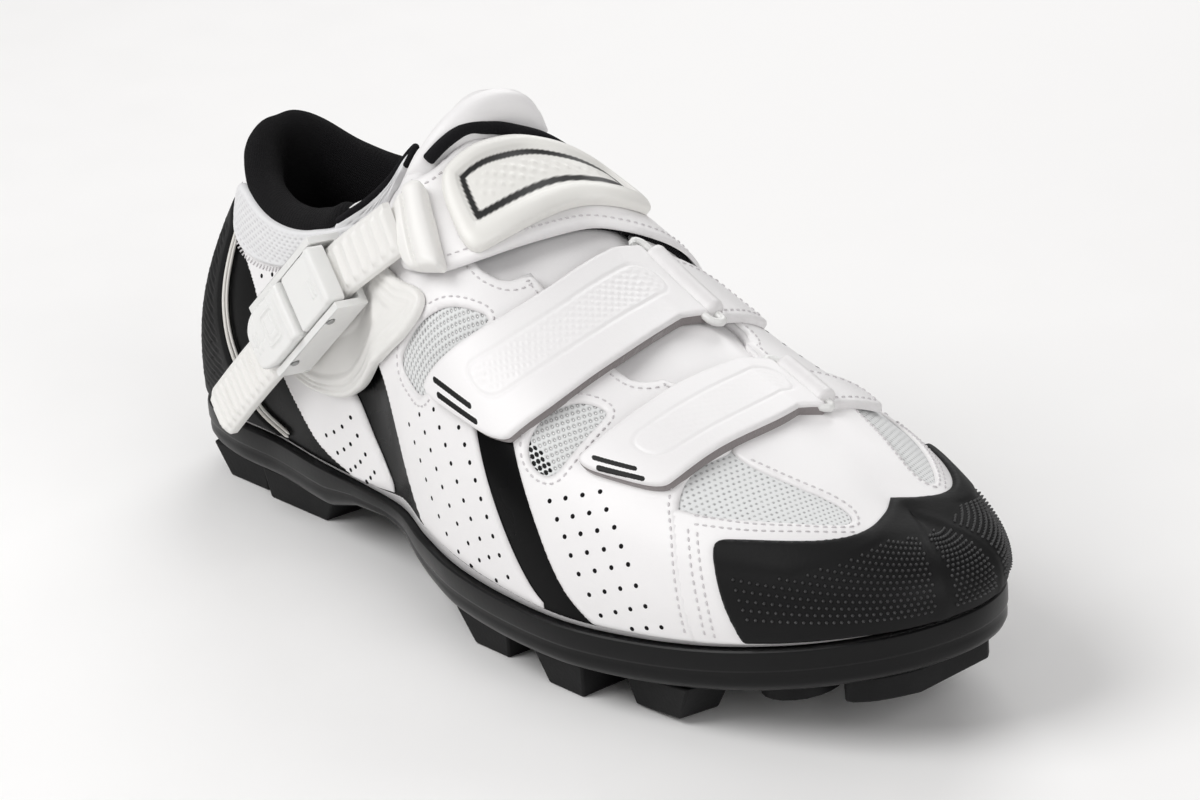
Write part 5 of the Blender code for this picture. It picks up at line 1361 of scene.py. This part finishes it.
# the ladder's middle line in the buckle's own axes, in shares of its reach: x, y, lift
ladderPath = ((-1.05, 0.06, -0.06), (-0.44, 0.0, 0.0), (0.05, 0.0, 0.0), (0.54, 0.0, 0.0), (1.03, 0.0, 0.0),
              (1.52, 0.0, -0.02))
runs = np.linspace(0, 1, 320)
path = alongRows(ladderPath, runs) * ladder["reach"]
heading = np.gradient(path, axis=0)
acrossDir = unit(np.stack([-heading[:, 1], heading[:, 0], 0 * heading[:, 0]], -1))
ladderSpan = ladder["reach"] * (ladderPath[-1][0] - ladderPath[0][0])
phase = (runs * ladderSpan / ladder["pitch"]) % 1.0
ribShape = np.clip(np.sin(math.pi * np.clip(phase / 0.62, 0, 1)), 0, 1) ** 0.6
width = np.linspace(-0.5, 0.5, 25)
ribEnds = np.clip((0.40 - np.abs(width)) / 0.04, 0, 1)
tipRound = np.sqrt(np.clip(1 - ((runs - 0.965) / 0.035).clip(0) ** 2, 0.15, 1))
lowLift = buckle["wall"] + buckle["seam"]
sideFall = 0.0005 * np.clip((np.abs(width) - 0.44) / 0.06, 0, 1) ** 2
flatLine = path[:, None] + ladder["width"] * width[:, None] * (tipRound[:, None] * acrossDir)[:, None]
topLift = lowLift + ladder["thick"] + ladder["tooth"] * ribShape[:, None] * ribEnds - sideFall
topLine, bottomLine = (
    buckleMap(flatLine[..., 0], flatLine[..., 1], flatLine[..., 2] + lift) for lift in (topLift, lowLift))
settle(padPiece("ladder_band", topLine, bottomLine, softPlastic), "white_plastic", "ladder_strap")
print("buckle made")

# ---------------------------------------------------------------- sole: side wall, underside and tread
sole = dict(along=480, wall=0.0012, inner=0.0035)
underneath = dict(low=-0.0080, high=0.0, step=0.0014, edge=0.0002)
# profile of the side wall: share of the way down, and how far out in shares of the rim
sideRows = np.array((
    (0.0, 0.0), (0.0, 0.72), (0.03, 0.92), (0.10, 1.0), (0.26, 1.02), (0.41, 1.0), (0.455, 0.95),
    (0.475, 0.86), (0.50, 0.84), (0.56, 0.84), (0.60, 0.86), (0.64, 0.90), (0.76, 0.86), (0.90, 0.50),
    (1.0, -0.3)))
base, outward = featherLine(spreadPlaces(sole["along"]))
topZ = base[:, 2] - 0.0004
lowZ = underside(base[:, 0])
wallReach = np.concatenate([[-sole["inner"]], sideRows[:, 1] * last["rim"]])
wallDown = np.concatenate([[0], sideRows[:, 0]])[:, None]
wallPoints = base[:, :2] + wallReach[:, None, None] * outward[:, :2]
wallZ = topZ - wallDown * (topZ - lowZ)
soleSide = np.concatenate([wallPoints, wallZ[..., None]], -1) + shift
soleWall = gridPiece("sole_wall", soleSide, glossSole, closedAcross=True, plain=True, sharp=35)
tidyMesh(soleWall, 2e-6)
addWall(soleWall, sole["wall"])
settle(soleWall, "black_rubber", "sole_plate")
bottomLoop = evenLoop(base[:, :2] - 0.3 * last["rim"] * outward[:, :2], 0.0012)
recess = dict(rear=0.530, front=0.762, lateral=-0.245, medial=0.190, depth=0.003, slotX=0.630, slotY=-0.022,
              slotPitch=0.014, slotHalf=0.015, slotWidth=0.008, slotDepth=0.0028)


def boxInside(x, y, x0, y0, x1, y1, soft):
    # 1 inside the box, falling to 0 over soft metres outside it
    gap = np.maximum(np.maximum(x0 - x, x - x1), np.maximum(y0 - y, y - y1))
    return np.clip(0.5 - gap / soft, 0, 1)


def soleRelief(x, y, inside):
    # the cleat recess with its two slots, and a raised border that frames it
    length, ball = last["length"], last["ball"]
    deep = boxInside(x, y, recess["rear"] * length, recess["lateral"] * ball, recess["front"] * length,
                     recess["medial"] * ball, 0.0012)
    slots = 0
    for sign in (-1, 1):
        sy = recess["slotY"] * ball + sign * recess["slotPitch"] / 2
        halfWidth = recess["slotWidth"] / 2
        gx = np.maximum(np.abs(x - recess["slotX"] * length) - (recess["slotHalf"] - halfWidth), 0)
        slots = slots + np.clip(0.5 - (np.hypot(gx, y - sy) - halfWidth) / 0.001, 0, 1)
    slots = np.clip(slots, 0, 1)
    return -recess["depth"] * deep - recess["slotDepth"] * slots, slots


layPiece("sole_underside", underneath, [bottomLoop], soleMap, glossSole, "black_rubber", relief=soleRelief)
treadNodes = [name for name in sorted(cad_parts) if "lug" in name or "rail" in name or "stud_disc" in name]
for node in treadNodes:
    softened(node, node + "_tread", 0.0006, blackRubber, "black_rubber")
for node in ("stud_insert_lateral", "stud_insert_medial"):
    softened(node, node + "_sleeve", 0.0003, steel, "steel")
softened("cleat_nut_plate", "cleat_nut_bar", 0.0003, steel, "steel")
# corners of the arch in shares of the length and of the ball's width
archCorners = ((0.27, -0.16), (0.34, -0.20), (0.42, -0.27), (0.475, -0.36), (0.508, -0.36), (0.508, 0.255),
               (0.475, 0.22), (0.42, 0.20), (0.34, 0.19), (0.27, 0.17))
archLoop = roundedLoop([(*corner, 8) for corner in archCorners], (last["length"], last["ball"]))


def scaleRelief(x, y, inside):
    # overlapping scales: a slope that rises along each cell and drops at its curved end
    u, v = x / 0.0085, y / 0.0105
    row = np.floor(u)
    across = (v + 0.5 * (row % 2)) % 1.0 - 0.5
    slope = (u - row + 1.44 * across ** 2) % 1.0
    return -0.0011 * (1 - slope) * np.clip(inside / 0.002, 0, 1), 0 * x


archPiece = dict(low=0.0003, high=0.0026, step=0.0006, edge=0.0008)
layPiece("arch_scales", archPiece, [archLoop], soleMap, blackRubber, "black_rubber", "arch_tread",
         relief=scaleRelief)
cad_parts["insole"].data.materials.clear()
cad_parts["insole"].data.materials.append(blackKnit)
print("sole made")

# ---------------------------------------------------------------- stitches, floor and finish
# the stitches carry the thread colour with its painted shade
settle(makeStitches("pale_stitches", stitchRuns, threadWithPaintedShade), "white_synthetic")

steps = np.linspace(-1, 1, 41) * studio["floorSize"]
floorX, floorY = np.meshgrid(steps, steps, indexing="ij")
floorMaterial = surfaceMaterial("studio_floor", studio["floorColour"], 0.7, shade=(0.995, 0.995, 0.995),
                                depth=0.0, grain=(3.0, 9.0))
floor = gridPiece("floor", np.stack([floorX, floorY, 0 * floorX], -1), floorMaterial)

print("shoe finished")
